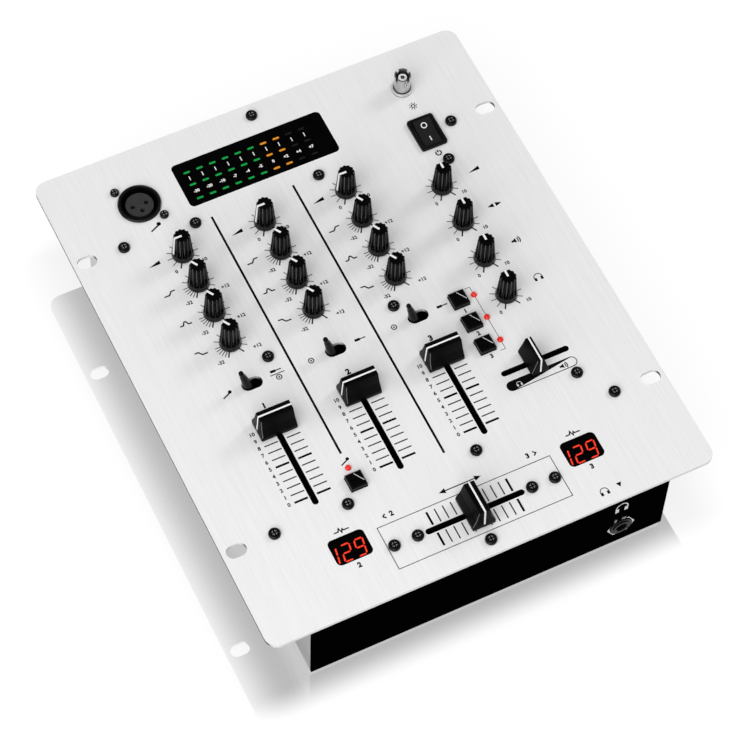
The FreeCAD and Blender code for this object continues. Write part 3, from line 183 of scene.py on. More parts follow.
# Brushed panel: how closely its lines lie, and the darkest and lightest grey of its top, of its front edge
# with a painted highlight, and of its other edges and underside with painted shade
FINE_LINES = (4200, 60, 4200)
BROAD_LINES = (1500, 24, 1500)
PANEL_GREYS = (0.79, 0.88)
FRONT_EDGE_HIGHLIGHT_GREYS = (0.86, 0.94)
EDGE_AND_UNDERSIDE_SHADE_GREYS = (0.05, 0.09)


def brushed_aluminium():
    """Fine lines along Y over broader, fainter ones; the front edge has a painted highlight, and the other
    edges and the underside have painted shade.
    """
    material, tree, shader = new_material("brushed_aluminium")
    fine, broad = noise(tree, 1, FINE_LINES), noise(tree, 1, BROAD_LINES)
    lines = work_out(tree, "MULTIPLY_ADD", fine, 0.5, work_out(tree, "MULTIPLY", broad, 0.5))
    face, front_highlight, painted_shade = (ramp(tree, lines, *greys)
                          for greys in (PANEL_GREYS, FRONT_EDGE_HIGHLIGHT_GREYS, EDGE_AND_UNDERSIDE_SHADE_GREYS))
    # Painted light: faces turned to the front get a painted highlight, and every other face but the top gets
    # painted shade
    edges = blend(tree, facing_share(tree, "Y", -0.45, -0.8), painted_shade, front_highlight)
    colour = blend(tree, facing_share(tree, "Z", 0.3, 0.7), edges, face)
    set_sockets(tree, shader, Base_Color=colour, Roughness=spread(tree, lines, 0.42, 0.52),
                Metallic=0.06, Specular_IOR_Level=0.12)
    add_bump(tree, shader, lines, 0.1)
    return material


def striped_ribbon():
    """Grey flat cable with a stripe for each wire."""
    material, tree, shader = new_material("ribbon_cable")
    place = add_node(tree, "TexCoord").outputs["Object"]
    stripes = add_node(tree, "TexWave", bands_direction="X", Vector=place, Scale=125).outputs["Fac"]
    set_sockets(tree, shader, Base_Color=ramp(tree, stripes, 0.28, 0.5), Roughness=0.5)
    add_bump(tree, shader, stripes, 0.5, 0.0003)
    return material


# Finishes of one grain: darkest and lightest colour, range of roughness, scale of the grain and settings
GRAINS = {
    "zinc": (0.38, 0.48, (0.4, 0.55), 60, dict(metallic=0.8, bump=0.05)),
    "black_paint": (0.0004, 0.0012, (0.45, 0.6), 900, dict(specular=0.0, bump=0.1)),
    "rubber": (0.012, 0.022, (0.7, 0.9), 700, dict(specular=0.2, bump=0.3)),
    "black_steel": (0.001, 0.003, (0.08, 0.14), 700, dict(specular=0.2, bump=0.03)),
    "brass": ((0.5, 0.36, 0.12, 1), (0.66, 0.5, 0.2, 1), (0.25, 0.4), 300, dict(metallic=1.0)),
    "board": ((0.006, 0.08, 0.03, 1), (0.012, 0.14, 0.05, 1), (0.3, 0.5), 220, {}),
    "black_plastic": (0.0015, 0.003, (0.26, 0.36), 1200, dict(specular=0.18, bump=0.1)),
    "knob_plastic": (0.0006, 0.0015, (0.12, 0.2), 1500, dict(specular=0.08, bump=0.03)),
    "white_plastic": (0.74, 0.82, (0.4, 0.5), 400, {}),
    "red_lens": (srgb(196, 18, 12), srgb(226, 40, 28), (0.06, 0.1), 900, dict(glow=0.3)),
    "clear_lens": (0.55, 0.65, (0.15, 0.25), 500, {}),
    "smoked_lens": (0.0006, 0.0015, (0.1, 0.16), 120, dict(specular=0.03)),
    "nickel": (0.46, 0.58, (0.08, 0.16), 400, dict(metallic=1.0)),
    # Painted sheen: a slightly lighter, shinier copy of the knob plastic for the knob skirts
    "skirt_sheen_plastic": (0.002, 0.004, (0.18, 0.28), 1500, dict(specular=0.22, bump=0.03)),
    "gloss_plastic": (0.001, 0.003, (0.05, 0.1), 900, dict(specular=0.6)),
    # Painted highlight: a pale plastic for the light strips down the sides of the fader caps
    "highlight_strip_plastic": (0.08, 0.13, (0.3, 0.4), 1200, dict(specular=0.4)),
    "rocker_plastic": (0.007, 0.012, (0.3, 0.42), 1200, dict(specular=0.25, bump=0.1)),
    # Painted highlight: a pale metal for the lines round the screw recesses
    "recess_highlight_steel": (0.26, 0.42, (0.25, 0.4), 900, dict(metallic=0.4)),
    "satin_nickel": (0.66, 0.78, (0.4, 0.5), 500, dict(metallic=0.4)),
    # Painted highlight: a lighter plastic for narrow bands down the knob flute floors
    "flute_highlight_plastic": (0.055, 0.085, (0.18, 0.28), 1500, dict(specular=0.5, bump=0.03)),
    "cap_plastic": (0.0008, 0.002, (0.3, 0.42), 1500, dict(specular=0.05, bump=0.06)),
    "socket_plastic": (0.028, 0.042, (0.35, 0.5), 1200, dict(specular=0.2, bump=0.1)),
    "black_ink": (0.001, 0.003, (0.5, 0.65), 1500, dict(specular=0.06)),
    "white_ink": (0.78, 0.88, (0.45, 0.6), 1500, dict(specular=0.3)),
    # Painted highlight: a pale grey for the slanting line on each button top
    "button_highlight_grey": (0.5, 0.62, (0.45, 0.6), 1500, {}),
    "green_bar": (srgb(8, 128, 52), srgb(20, 158, 72), (0.3, 0.4), 900, dict(specular=0.1, glow=0.25)),
    "amber_bar": (srgb(190, 116, 20), srgb(222, 146, 38), (0.3, 0.4), 900, dict(specular=0.1, glow=0.25)),
    "dark_bar": (0.006, 0.012, (0.3, 0.4), 900, dict(specular=0.1)),
    "red_segment": (srgb(215, 38, 24), srgb(240, 66, 42), (0.3, 0.4), 900, dict(specular=0.1, glow=0.35)),
    "red_ring": (srgb(150, 14, 12), srgb(190, 26, 22), (0.35, 0.5), 500, {}),
}
FINISHES = {name: surface(name, *grain, **settings) for name, (*grain, settings) in GRAINS.items()}
FINISHES.update(panel=brushed_aluminium(), ribbon=striped_ribbon())
OWN_FINISH = {"mic_socket_insert": "socket_plastic", "power_rocker": "rocker_plastic"}
SLOT_OF_NODE = {row["node"]: row["material_slot"] for row in frame["record"]["subparts"]}


def dress_frame():
    """Gives each modelled part the finish of its slot, or one of its own."""
    for name, part in frame["nodes"].items():
        part.data.materials.clear()
        part.data.materials.append(FINISHES[OWN_FINISH.get(name, SLOT_OF_NODE[name])])


# Shapes

SHARPEST_MITRE = 0.4


def arc(x, y, radius, start, end, steps=16):
    """Points on an arc, with angles in degrees from the X axis."""
    points = []
    for k in range(steps + 1):
        angle = math.radians(start + (end - start) * k / steps)
        points.append((x + radius * math.cos(angle), y + radius * math.sin(angle)))
    return points


def disc(x, y, radius, steps=20):
    return arc(x, y, radius, 0, 360, steps)[:-1]


def oblong(left, low, right, high):
    return [(left, low), (right, low), (right, high), (left, high)]


def obround(length, width, x, y, along_x, steps=10):
    """A slot outline, centred on a spot."""
    reach, radius = (length - width) / 2, width / 2
    outline = arc(reach, 0, radius, -90, 90, steps) + arc(-reach, 0, radius, 90, 270, steps)
    if along_x:
        return [(x + u, y + v) for u, v in outline]
    return [(x - v, y + u) for u, v in outline]


def ribbed(ribs, ridge, groove):
    """A round outline of fine ridges and grooves about the origin."""
    ridges, grooves = disc(0, 0, ridge, 2 * ribs), disc(0, 0, groove, 2 * ribs)
    return [ridges[k] if k % 2 else grooves[k] for k in range(2 * ribs)]


def skin(rings, count, around=False):
    """Faces between rings of as many points, and from the last to the first if they go all round."""
    faces = []
    for ring in range(rings if around else rings - 1):
        low, high = ring * count, (ring + 1) % rings * count
        for k in range(count):
            after = (k + 1) % count
            faces.append([low + k, low + after, high + after, high + k])
    return faces


class Form:
    """Points in millimetres and the faces between them, gathered into one mesh."""

    def __init__(self):
        self.points = []
        self.faces = []

    def add(self, points, faces):
        start = len(self.points)
        self.points.extend(Vector(point) for point in points)
        self.faces.extend([start + k for k in face] for face in faces)

    def through(self, loops, closed=False):
        """A skin through loops of as many points, with flat ends, or from the last loop to the first."""
        count = len(loops[0])
        last = (len(loops) - 1) * count
        ends = [] if closed else [list(range(count)), list(range(last, last + count))]
        self.add([point for loop in loops for point in loop], ends + skin(len(loops), count, closed))

    def prism(self, outline, low, high):
        """A flat shape between two levels."""
        self.through([[(x, y, level) for x, y in outline] for level in (low, high)])

    def band(self, outer, inner, low, high):
        """A closed flat ring between two loops of as many points."""
        edges = ((outer, low), (outer, high), (inner, high), (inner, low))
        self.through([[(x, y, level) for x, y in loop] for loop, level in edges], True)

    def ribbon(self, path, width, low, high, closed=False):
        """A line of even width between two levels, with mitred corners."""
        left, right = [], []
        spots = [Vector(point) for point in path]
        for k, here in enumerate(spots):
            ways = []
            if k or closed:
                ways.append((here - spots[k - 1]).normalized())
            if k < len(spots) - 1 or closed:
                ways.append((spots[(k + 1) % len(spots)] - here).normalized())
            along = sum(ways, Vector((0, 0))).normalized()
            reach = width / 2 / max(SHARPEST_MITRE, along.dot(ways[0]))
            across = Vector((-along.y, along.x)) * reach
            left.append(here + across)
            right.append(here - across)
        if closed:
            self.band(left, right, low, high)
        else:
            self.prism(left[::-1] + right, low, high)

    def turned(self, profile, segments=48):
        """A solid of revolution about Z, from (radius, level) points that start and end on the axis."""
        rings = profile[1:-1]
        points = [(x, y, level) for radius, level in rings for x, y in disc(0, 0, radius, segments)]
        bottom, crown = len(points), len(points) + 1
        points += [(0, 0, profile[0][1]), (0, 0, profile[-1][1])]
        faces = skin(len(rings), segments)
        last = (len(rings) - 1) * segments
        for k in range(segments):
            after = (k + 1) % segments
            faces += [[bottom, after, k], [crown, last + k, last + after]]
        self.add(points, faces)

    def lathe_ring(self, section, segments=64):
        """A ring about Z from a closed section of (radius, level) points."""
        loops = []
        for x, y in disc(0, 0, 1, segments):
            loops.append([(radius * x, radius * y, level) for radius, level in section])
        self.through(loops, True)

    def move(self, matrix):
        self.points = [matrix @ point for point in self.points]

    def join(self, other, matrix):
        self.add([matrix @ point for point in other.points], other.faces)

    def case_piece(self, name, slot, smooth_below=30, finish=None):
        """Makes the form a piece of the case, with the finish of its slot unless another is named."""
        add_piece(name, make_mesh(name, self, finish or slot, smooth_below), CASE)


def make_mesh(name, form, finish, smooth_below, bevel=0.0):
    """A mesh in metres with even face directions, rounded edges if asked, and smooth curved faces."""
    mesh = bpy.data.meshes.new(name)
    mesh.from_pydata([point * MM for point in form.points], [], form.faces)
    work = bmesh.new()
    work.from_mesh(mesh)
    bmesh.ops.recalc_face_normals(work, faces=work.faces)
    if bevel:
        bmesh.ops.bevel(work, geom=list(work.edges), offset=bevel * MM, segments=3, profile=0.5,
                        affect="EDGES", clamp_overlap=True)
    work.to_mesh(mesh)
    work.free()
    mesh.materials.append(FINISHES[finish])
    mesh.shade_smooth()
    mesh.set_sharp_from_angle(angle=math.radians(smooth_below))
    return mesh


def new_object(name, data):
    """An object that is part of the scene."""
    made = bpy.data.objects.new(name, data)
    bpy.context.scene.collection.objects.link(made)
    return made


def add_piece(name, mesh, body, stands_for=None, matrix=Matrix.Identity(4)):
    """Puts a mesh on a body, in place of a modelled part if one is named."""
    piece = new_object(name, mesh)
    piece.matrix_world = matrix
    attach(piece, body)
    if stands_for:
        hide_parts(stands_for)


def spot(x, y, z, turn=0.0):
    """A place in metres for a mesh that is drawn round its own origin."""
    return Matrix.Translation(Vector((x, y, z)) * MM) @ Matrix.Rotation(math.radians(turn), 4, "Z")


UPRIGHT = Matrix.Rotation(math.radians(90), 4, "X")
ON_PANEL = Matrix.Translation((0, 0, PANEL_TOP))


# Rotary knobs: a flared skirt, fluted sides, a nearly flat top and a white pointer on one ridge, with a
# painted highlight down each flute floor and a painted sheen on the skirt

KNOB_HEIGHT = 18.0
KNOB_CROWN = 17.95
KNOB_BASE = 6.05
KNOB_NECK = 5.55
KNOB_RIM = 4.4
KNOB_SKIRT = 3.4
KNOB_LIP = 1.0
KNOB_ROUND = 0.35
KNOB_SHOULDER = KNOB_CROWN - KNOB_ROUND
KNOB_CHAMFER = 0.12
KNOB_DISH = 0.05
KNOB_LEVELS = (0.0, KNOB_CHAMFER, KNOB_LIP, 2.2, 3.0, KNOB_SKIRT, 3.5, 3.65, 3.85, 4.05, 4.25, 4.5, 5.0, 6.5,
               9.5, 12.5, 15.5, KNOB_SHOULDER)
FLUTES = 11
FLUTE_RADIUS = 1.1
FLUTE_REACH = KNOB_RIM + FLUTE_RADIUS - 0.45
FLUTE_SOFT = 0.06
# Width of the painted highlight down each flute floor, as a share of the flute, and how far above the skirt
# it starts
FLUTE_HIGHLIGHT_SHARE = 0.16
FLUTE_HIGHLIGHT_FOOT = 0.5
FLUTE_SHARES = (0, 0.12, 0.24, 0.36, 0.46, 0.54, 0.6, 0.65, 0.7, 0.75, 0.8, 0.86, 0.93)
SHAFT_RADIUS = 3.0
SHAFT_CHAMFER = 0.3
SHAFT_OVERLAP = 0.5
POINTER_WIDTH = 1.15
POINTER_PROUD = 0.05
POINTER_DEPTH = 0.4
POINTER_START = 0.1
POINTER_BEFORE_RIM = 0.3
POINTER_AT_RIM = 0.05
POINTER_RIM_DROP = 0.1


def knob_radius(level):
    """The radius of the knob's sides without flutes."""
    if level <= KNOB_LIP:
        return KNOB_BASE
    if level < KNOB_SKIRT:
        share = (KNOB_SKIRT - level) / (KNOB_SKIRT - KNOB_LIP)
        return KNOB_NECK + (KNOB_BASE - KNOB_NECK) * share
    share = (level - KNOB_SKIRT) / (KNOB_HEIGHT - KNOB_SKIRT)
    return KNOB_NECK + (KNOB_RIM - KNOB_NECK) * share


def fluted(radius, level, angle):
    """The radius where a round-ended cutter has run down beside a ridge."""
    pitch = 2 * math.pi / FLUTES
    off = (angle % pitch) - pitch / 2
    sink = min(0.0, level - KNOB_SKIRT - FLUTE_RADIUS)
    reach = FLUTE_REACH * math.cos(off)
    under = reach ** 2 - FLUTE_REACH ** 2 - sink ** 2 + FLUTE_RADIUS ** 2
    if under <= 0:
        return radius
    cut = reach - math.sqrt(under)
    gap = radius - cut
    if gap <= -FLUTE_SOFT:
        return radius
    return (radius + cut - math.sqrt(gap ** 2 + FLUTE_SOFT ** 2) + FLUTE_SOFT / 2) / 2


def knob_angles():
    """Angles round the knob, closer together where a flute meets a ridge."""
    half = math.pi / FLUTES
    angles = []
    for flute in range(FLUTES):
        centre = (2 * flute + 1) * half
        shares = [-share for share in FLUTE_SHARES[:0:-1]] + list(FLUTE_SHARES) + [1.0]
        angles.extend(centre + share * half for share in shares)
    return angles


def knob_mesh(shaft_drop):
    """The knob stands on its own origin with a ridge along X, and its shaft hangs below."""
    rings = [(knob_radius(level), level) for level in KNOB_LEVELS]
    rings[0] = (KNOB_BASE - KNOB_CHAMFER, 0.0)
    rings += arc(KNOB_RIM - KNOB_ROUND, KNOB_SHOULDER, KNOB_ROUND, 0, 90, 4)[1:]
    angles = knob_angles()
    count = len(angles)
    points = []
    for radius, level in rings:
        inset = KNOB_RIM - radius if level > KNOB_SHOULDER else 0.0
        for angle in angles:
            reach = fluted(radius + inset, level, angle) - inset
            points.append((reach * math.cos(angle), reach * math.sin(angle), level))
    faces = skin(len(rings), count)
    # Painted light: a narrow band down each flute floor takes a lighter plastic as a painted highlight, and
    # the skirt faces a lighter, shinier plastic as a painted sheen
    flute_highlight_faces, sheen = [], []
    pitch = 2 * math.pi / FLUTES
    for index in range(len(faces)):
        level = rings[index // count][1]
        off = 2 * (angles[index % count] % pitch) / pitch - 1 + FLUTE_SHARES[1] / 2
        if abs(off) < FLUTE_HIGHLIGHT_SHARE and level > KNOB_SKIRT + FLUTE_HIGHLIGHT_FOOT:
            flute_highlight_faces.append(index)
        elif level < KNOB_SKIRT:
            sheen.append(index)
    dish = len(points)
    points.append((0, 0, KNOB_CROWN - KNOB_DISH))
    last = dish - count
    faces.extend([last + k, last + (k + 1) % count, dish] for k in range(count))
    faces.append(list(range(count)))
    form = Form()
    form.add(points, faces)
    form.turned([(0, -shaft_drop), (SHAFT_RADIUS - SHAFT_CHAMFER, -shaft_drop),
                 (SHAFT_RADIUS, SHAFT_CHAMFER - shaft_drop), (SHAFT_RADIUS, SHAFT_OVERLAP),
                 (0, SHAFT_OVERLAP)])
    mesh = make_mesh("fluted_knob", form, "knob_plastic", 50)
    for index, (finish, spots) in enumerate((("flute_highlight_plastic", flute_highlight_faces), ("skirt_sheen_plastic", sheen)), 1):
        mesh.materials.append(FINISHES[finish])
        for face in spots:
            mesh.polygons[face].material_index = index
    return mesh


def pointer_mesh():
    """A white inlay from the middle of the top out over the rim and down to the skirt."""
    side = KNOB_CROWN - POINTER_DEPTH
    foot = KNOB_SKIRT + POINTER_DEPTH
    rim_side = knob_radius(side)
    face = KNOB_CROWN + POINTER_PROUD
    over = [(POINTER_START, face), (KNOB_RIM - POINTER_BEFORE_RIM, face),
            (KNOB_RIM - POINTER_AT_RIM, KNOB_CROWN - POINTER_RIM_DROP), (rim_side + POINTER_PROUD, side),
            (KNOB_NECK + POINTER_PROUD, foot)]
    under = [(KNOB_NECK - POINTER_DEPTH, foot), (rim_side - POINTER_DEPTH, side), (POINTER_START, side)]
    form = Form()
    form.prism(over + under, -POINTER_WIDTH / 2, POINTER_WIDTH / 2)
    form.move(UPRIGHT)
    return make_mesh("knob_pointer", form, "white_ink", 30)


def make_knobs():
    low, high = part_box("knob_master")
    shaft_drop = (high - low).z / MM - KNOB_HEIGHT
    knob, pointer = knob_mesh(shaft_drop), pointer_mesh()
    turns = {f"{band}_{k}": turn for band, (turn, sign) in BANDS.items() for k in CHANNELS}
    turns.update(dict.fromkeys(MASTERS, 0))
    for name, turn in turns.items():
        node = "knob_" + name
        at = middle(node)
        place = spot(at.x, at.y, top(node) - KNOB_HEIGHT, turn + 90)
        add_piece("grip_" + name, knob, node, node, place)
        add_piece("pointer_" + name, pointer, node, None, place)


# Fader caps: waisted blocks with softened edges on a blade, a white line over the ridge, and strips of
# painted highlight beside one end

CAP = SimpleNamespace(length=20.5, width=13.0, height=15.0, skirt=2.8, waist_height=8.0, waist=8.6,
                      ridge_length=18.7, ridge=5.8, line=0.95, round=0.4)
MIX_CAP = SimpleNamespace(length=16.6, width=9.8, height=12.5, skirt=1.6, waist_height=7.0, waist=6.4,
                          ridge_length=15.2, ridge=3.2, line=0.9, round=0.35)
CAP_BEVEL = 0.3
MARK_PROUD = 0.03
LINE_THICKNESS = 0.16
HIGHLIGHT_STRIP_WIDTH = 0.5
HIGHLIGHT_STRIP_INSET = 0.2
HIGHLIGHT_STRIP_DEPTH = 0.2
BLADE_THICKNESS = 1.2
BLADE_LENGTH = 5.0
BLADE_OVERLAP = 0.5
FADERS = {"channel_fader_1": (CAP, 0), "channel_fader_2": (CAP, 0), "channel_fader_3": (CAP, 0),
          "crossfader": (CAP, 90), "cue_mix_fader": (MIX_CAP, 90)}


def cap_length_at(cap, level):
    return cap.length + (cap.ridge_length - cap.length) * level / cap.height


def cap_mesh(name, cap, blade_drop):
    """A cap that stands on its own origin with its ridge along X."""
    sections = [(0.0, cap.width), (cap.skirt, cap.width), (cap.waist_height, cap.waist),
                (cap.height, cap.ridge)]
    loops = []
    for level, wide in sections:
        x, y = cap_length_at(cap, level) / 2, wide / 2
        loops.append([(u, v, level) for u, v in oblong(-x, -y, x, y)])
    form = Form()
    form.through(loops)
    x, y = BLADE_THICKNESS / 2, BLADE_LENGTH / 2
    form.prism(oblong(-x, -y, x, y), -blade_drop, BLADE_OVERLAP)
    return make_mesh(name, form, "cap_plastic", 40, CAP_BEVEL)


def cap_line_mesh(name, cap):
    """A white line along the ridge and down both ends to the skirt."""
    foot = cap_length_at(cap, cap.skirt) / 2 + MARK_PROUD
    end = cap.ridge_length / 2 + MARK_PROUD
    crown = cap.height + MARK_PROUD
    ease = cap.round
    half = [(end - ease, crown), (end - 0.25 * ease, crown - 0.25 * ease), (end + 0.05, crown - ease),
            (foot, cap.skirt)]
    path = [(-x, z) for x, z in half[::-1]] + half
    form = Form()
    form.ribbon(path, LINE_THICKNESS, -cap.line / 2, cap.line / 2)
    form.move(UPRIGHT)
    return make_mesh(name, form, "white_ink", 30)


def cap_edge_mesh(name, cap):
    """Strips of painted highlight down the long sides of a cap, beside one end."""
    ease = cap.round
    slope = (cap.waist - cap.ridge) / (cap.height - cap.waist_height)
    high = cap.height - 2 * ease
    lean = (cap.width - cap.waist) / (cap.waist_height - cap.skirt)
    sections = [(cap.skirt + ease, cap.width - lean * ease), (cap.waist_height, cap.waist),
                (high, cap.waist - slope * (high - cap.waist_height))]
    form = Form()
    for side in (-1, 1):
        loops = []
        for level, wide in sections:
            near = HIGHLIGHT_STRIP_INSET - cap_length_at(cap, level) / 2
            face, under = side * (wide / 2 + MARK_PROUD), side * (wide / 2 - HIGHLIGHT_STRIP_DEPTH)
            loops.append([(u, v, level) for u, v in oblong(near, face, near + HIGHLIGHT_STRIP_WIDTH, under)])
        form.through(loops)
    return make_mesh(name, form, "highlight_strip_plastic", 30)


def make_faders():
    for node, (cap, turn) in FADERS.items():
        at = middle(node)
        under = top(node) - cap.height
        blade_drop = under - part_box(node)[0].z / MM
        place = spot(at.x, at.y, under, turn)
        add_piece("cap_" + node, cap_mesh("cap_" + node, cap, blade_drop), node, node, place)
        add_piece("line_" + node, cap_line_mesh("line_" + node, cap), node, None, place)
        # Painted highlight: pale strips down the cap's sides beside one end
        add_piece("edge_" + node, cap_edge_mesh("edge_" + node, cap), node, None, place)


# Selector levers: a black sleeve over the tip of each cone

LEVER_TILT = -14.5
LEVER_LENGTH = 25.8
LEVER_PIVOT_DEPTH = 9.0
SLEEVE_LENGTH = 6.0
SLEEVE_RADIUS = 1.45
SLEEVE_COLLAR = 1.75
SLEEVE_TIP = 1.35
SLEEVE_STEP = 0.25


def make_lever_tips():
    base = LEVER_LENGTH - SLEEVE_LENGTH
    shoulder = LEVER_LENGTH - SLEEVE_RADIUS
    profile = [(0, base), (SLEEVE_COLLAR, base), (SLEEVE_COLLAR, base + SLEEVE_STEP),
               (SLEEVE_RADIUS, base + 2 * SLEEVE_STEP), (SLEEVE_TIP, shoulder)]
    profile.extend((max(x, 0.0), y) for x, y in arc(0, shoulder, SLEEVE_TIP, 15, 90, 6))
    form = Form()
    form.turned(profile, 32)
    mesh = make_mesh("lever_sleeve", form, "knob_plastic", 40)
    for k in CHANNELS:
        node = f"selector_lever_{k}"
        x = middle(f"knob_gain_{k}").x
        y = middle(node).y
        place = spot(x, y, PANEL_TOP - LEVER_PIVOT_DEPTH) @ Matrix.Rotation(math.radians(LEVER_TILT), 4, "Y")
        add_piece(f"lever_sleeve_{k}", mesh, node, None, place)


# Printed marks: thin raised ink

INK = 0.03
INK_SINK = 0.01
FIGURE_SHARE = 0.72
# Height and weight of printed figures
LEVEL_TYPE = (2.2, 0.1)
DIAL_TYPE = (2.1, 0.1)
CHANNEL_TYPE = (3.2, 0.24)
CUE_TYPE = (2.4, 0.18)
CROSS_TYPE = (2.8, 0.2)
TEMPO_TYPE = (2.8, 0.22)
METER_TYPE = (1.8, 0.12)
# Widths of lines
THIN = 0.5
THICK = 0.75
# Finish and slot of white marks
WHITE = ("white_ink", "white_plastic")

# Each sign is a list of strokes, as line width and path, and True for a line that closes
FILLED = 0
SIGNS = {
    "wedge": [(FILLED, [(-3.4, -1.1), (3.4, -1.1), (3.4, 1.2)])],
    "high": [(THICK, [(-3.4, -1.0), (-0.4, -1.0), (1.2, 1.0), (3.4, 1.0)])],
    "mid": [(THICK, [(-3.4, -1.0), (-1.5, -1.0), (-0.4, 1.0), (0.4, 1.0), (1.5, -1.0), (3.4, -1.0)])],
    "low": [(THICK, [(-3.4, 1.0), (-1.2, 1.0), (0.4, -1.0), (3.4, -1.0)])],
    "balance": [(FILLED, [(-4.2, 0), (-0.6, 1.3), (-0.6, -1.3)]),
                (FILLED, [(4.2, 0), (0.6, -1.3), (0.6, 1.3)])],
    "speaker": [(FILLED, [(-2.6, -0.6), (-1.5, -0.6), (0, -1.5), (0, 1.5), (-1.5, 0.6), (-2.6, 0.6)]),
                (0.6, arc(-0.6, 0, 1.8, -42, 42, 8)), (0.6, arc(-0.6, 0, 2.9, -42, 42, 8))],
    "phones": [(0.45, arc(0, -0.5, 2.3, 0, 180, 14)), (FILLED, oblong(-2.5, -2.4, -1.1, -0.5)),
               (FILLED, oblong(1.1, -2.4, 2.5, -0.5))],
    "mic": [(FILLED, disc(1.9, 0.9, 1.0)), (FILLED, [(1.5, -0.1), (0.9, 0.5), (-2.9, -1.3), (-2.5, -1.9)])],
    "disc": [(0.55, disc(0, 0, 1.4), True), (FILLED, disc(0, 0, 0.5))],
    "plug": [(FILLED, oblong(-3.2, -0.75, -0.2, 0.75)), (0.6, [(-0.2, 0), (2.2, 0)]),
             (FILLED, disc(2.5, 0, 0.45))],
    "arrow_down": [(FILLED, [(-1.5, 1.2), (0, -1.4), (1.5, 1.2)])],
    "left": [(THICK, [(0.7, 1.3), (-0.7, 0), (0.7, -1.3)])],
    "right": [(THICK, [(-0.7, 1.3), (0.7, 0), (-0.7, -1.3)])],
    "cross": [(0.6, [(-8.5, 0), (8.5, 0)]), (FILLED, [(-12, 0), (-8.4, 1.5), (-8.4, -1.5)]),
              (FILLED, [(12, 0), (8.4, -1.5), (8.4, 1.5)])],
    "lamp": [(0.55, disc(0, 0, 1.0), True)] + [
        (THIN, list(ends)) for ends in zip(disc(0, 0, 1.6, 8), disc(0, 0, 2.4, 8))],
    "power": [(THICK, arc(0, -0.1, 1.5, 125, 415, 20)), (THICK, [(0, 0.2), (0, 1.9)])],
    "pulse": [(0.7, [(-4.2, -0.4), (-1.8, -0.4), (-1.0, 1.3), (-0.1, -1.3), (0.7, 0.5), (1.2, -0.4),
                     (4.2, -0.4)])],
}


class Print(Form):
    """Marks printed on a face, drawn in the face's own plane and lifted a hair above it."""

    def fill(self, outline):
        self.prism(outline, -INK_SINK, INK)

    def line(self, path, width=THIN, closed=False):
        self.ribbon(path, width, -INK_SINK, INK, closed)

    def sign(self, name, x, y, size=1.0, rise=1.0):
        mark = Print()
        for width, path, *closes in SIGNS[name]:
            if width == FILLED:
                mark.fill(path)
            else:
                mark.line(path, width, *closes)
        self.join(mark, Matrix.Translation((x, y, 0)) @ Matrix.Diagonal((size, size * rise, 1, 1)))

    def figures(self, text, x, y, height, weight):
        """Plain figures of a given height, centred on a spot."""
        curve = bpy.data.curves.new("figures", "FONT")
        curve.body = text
        curve.size = height / FIGURE_SHARE
        curve.align_x = "CENTER"
        curve.align_y = "CENTER"
        curve.extrude = INK / 2
        curve.offset = weight
        curve.resolution_u = 3
        holder = bpy.data.objects.new("figures", curve)
        mesh = bpy.data.meshes.new_from_object(holder)
        lift = Vector((x, y, INK / 2))
        self.add([vertex.co + lift for vertex in mesh.vertices], [list(f.vertices) for f in mesh.polygons])
        bpy.data.objects.remove(holder)
        bpy.data.curves.remove(curve)
        bpy.data.meshes.remove(mesh)

    def piece(self, name, ink="black_ink", slot="black_plastic", body=CASE, face=ON_PANEL):
        """Turns the marks into a piece on a face of a body."""
        self.move(face)
        add_piece(name, make_mesh(name, self, ink, 20), body)


CHANNEL_X = [middle(f"knob_gain_{k}").x for k in CHANNELS]
LEVEL_STEP = 4.51
LEVEL_START = -83.1
LEVELS = 11
LEVEL_TICK = 0.68
LEVEL_MAIN_TICK = 1.2
LEVEL_TICKS = ((-10.0, -2.4), (2.7, 10.4))
LEVEL_FIGURE_ACROSS = -13.0
RULE_WIDTH = 1.25
RULE_SHIFT = -0.3
RULE_TOP = 93.5
RULE_ENDS = (-67.3, -89.5)
DIAL_END = 150
DIAL_TICK = (5.6, 8.9)
DIAL_TICK_WIDTH = 0.42
TONES = ("high", "mid", "low")
EVEN_TICKS = list(range(-120, 121, 30))
BOOST_TICKS = list(range(-120, 91, 30)) + [102, 114, 126, 138]
# Figures at the ends of a knob's travel, each with its place beside the knob
GAIN_FIGURES = (("0", -7.4, -8.6), ("10", 9.3, -7.6))
TONE_FIGURES = (("-32", -9.4, -9.0), ("+12", 12.2, -7.4))
MASTER_FIGURES = (("0", -7.4, -8.6), ("10", 9.6, -7.6))


def print_rules():
    """Long lines between the channel strips."""
    rules = Print()
    for strip, end in enumerate(RULE_ENDS):
        x = (CHANNEL_X[strip] + CHANNEL_X[strip + 1]) / 2 + RULE_SHIFT
        rules.line([(x, RULE_TOP), (x, end)], RULE_WIDTH)
    rules.piece("panel_rules")


def print_channel_scales():
    """Ticks and figures beside the three channel slots."""
    scale = Print()
    for x in CHANNEL_X:
        for k in range(LEVELS):
            y = LEVEL_START + k * LEVEL_STEP
            width = LEVEL_MAIN_TICK if k % 5 == 0 else LEVEL_TICK
            for start, end in LEVEL_TICKS:
                scale.line([(x + start, y), (x + end, y)], width)
            scale.figures(str(k), x + LEVEL_FIGURE_ACROSS, y, *LEVEL_TYPE)
    scale.piece("channel_scales")


def print_dial(scale, node, ticks, figures):
    """Radial ticks round a knob, with heavy ends, and figures for the ends of its travel."""
    at = middle(node).xy
    for angle in ticks + [-DIAL_END, DIAL_END]:
        width = THICK if abs(angle) == DIAL_END else DIAL_TICK_WIDTH
        way = Vector((-math.sin(math.radians(angle)), math.cos(math.radians(angle))))
        scale.line([at + way * reach for reach in DIAL_TICK], width)
    for text, x, y in figures:
        scale.figures(text, at.x + x, at.y + y, *DIAL_TYPE)


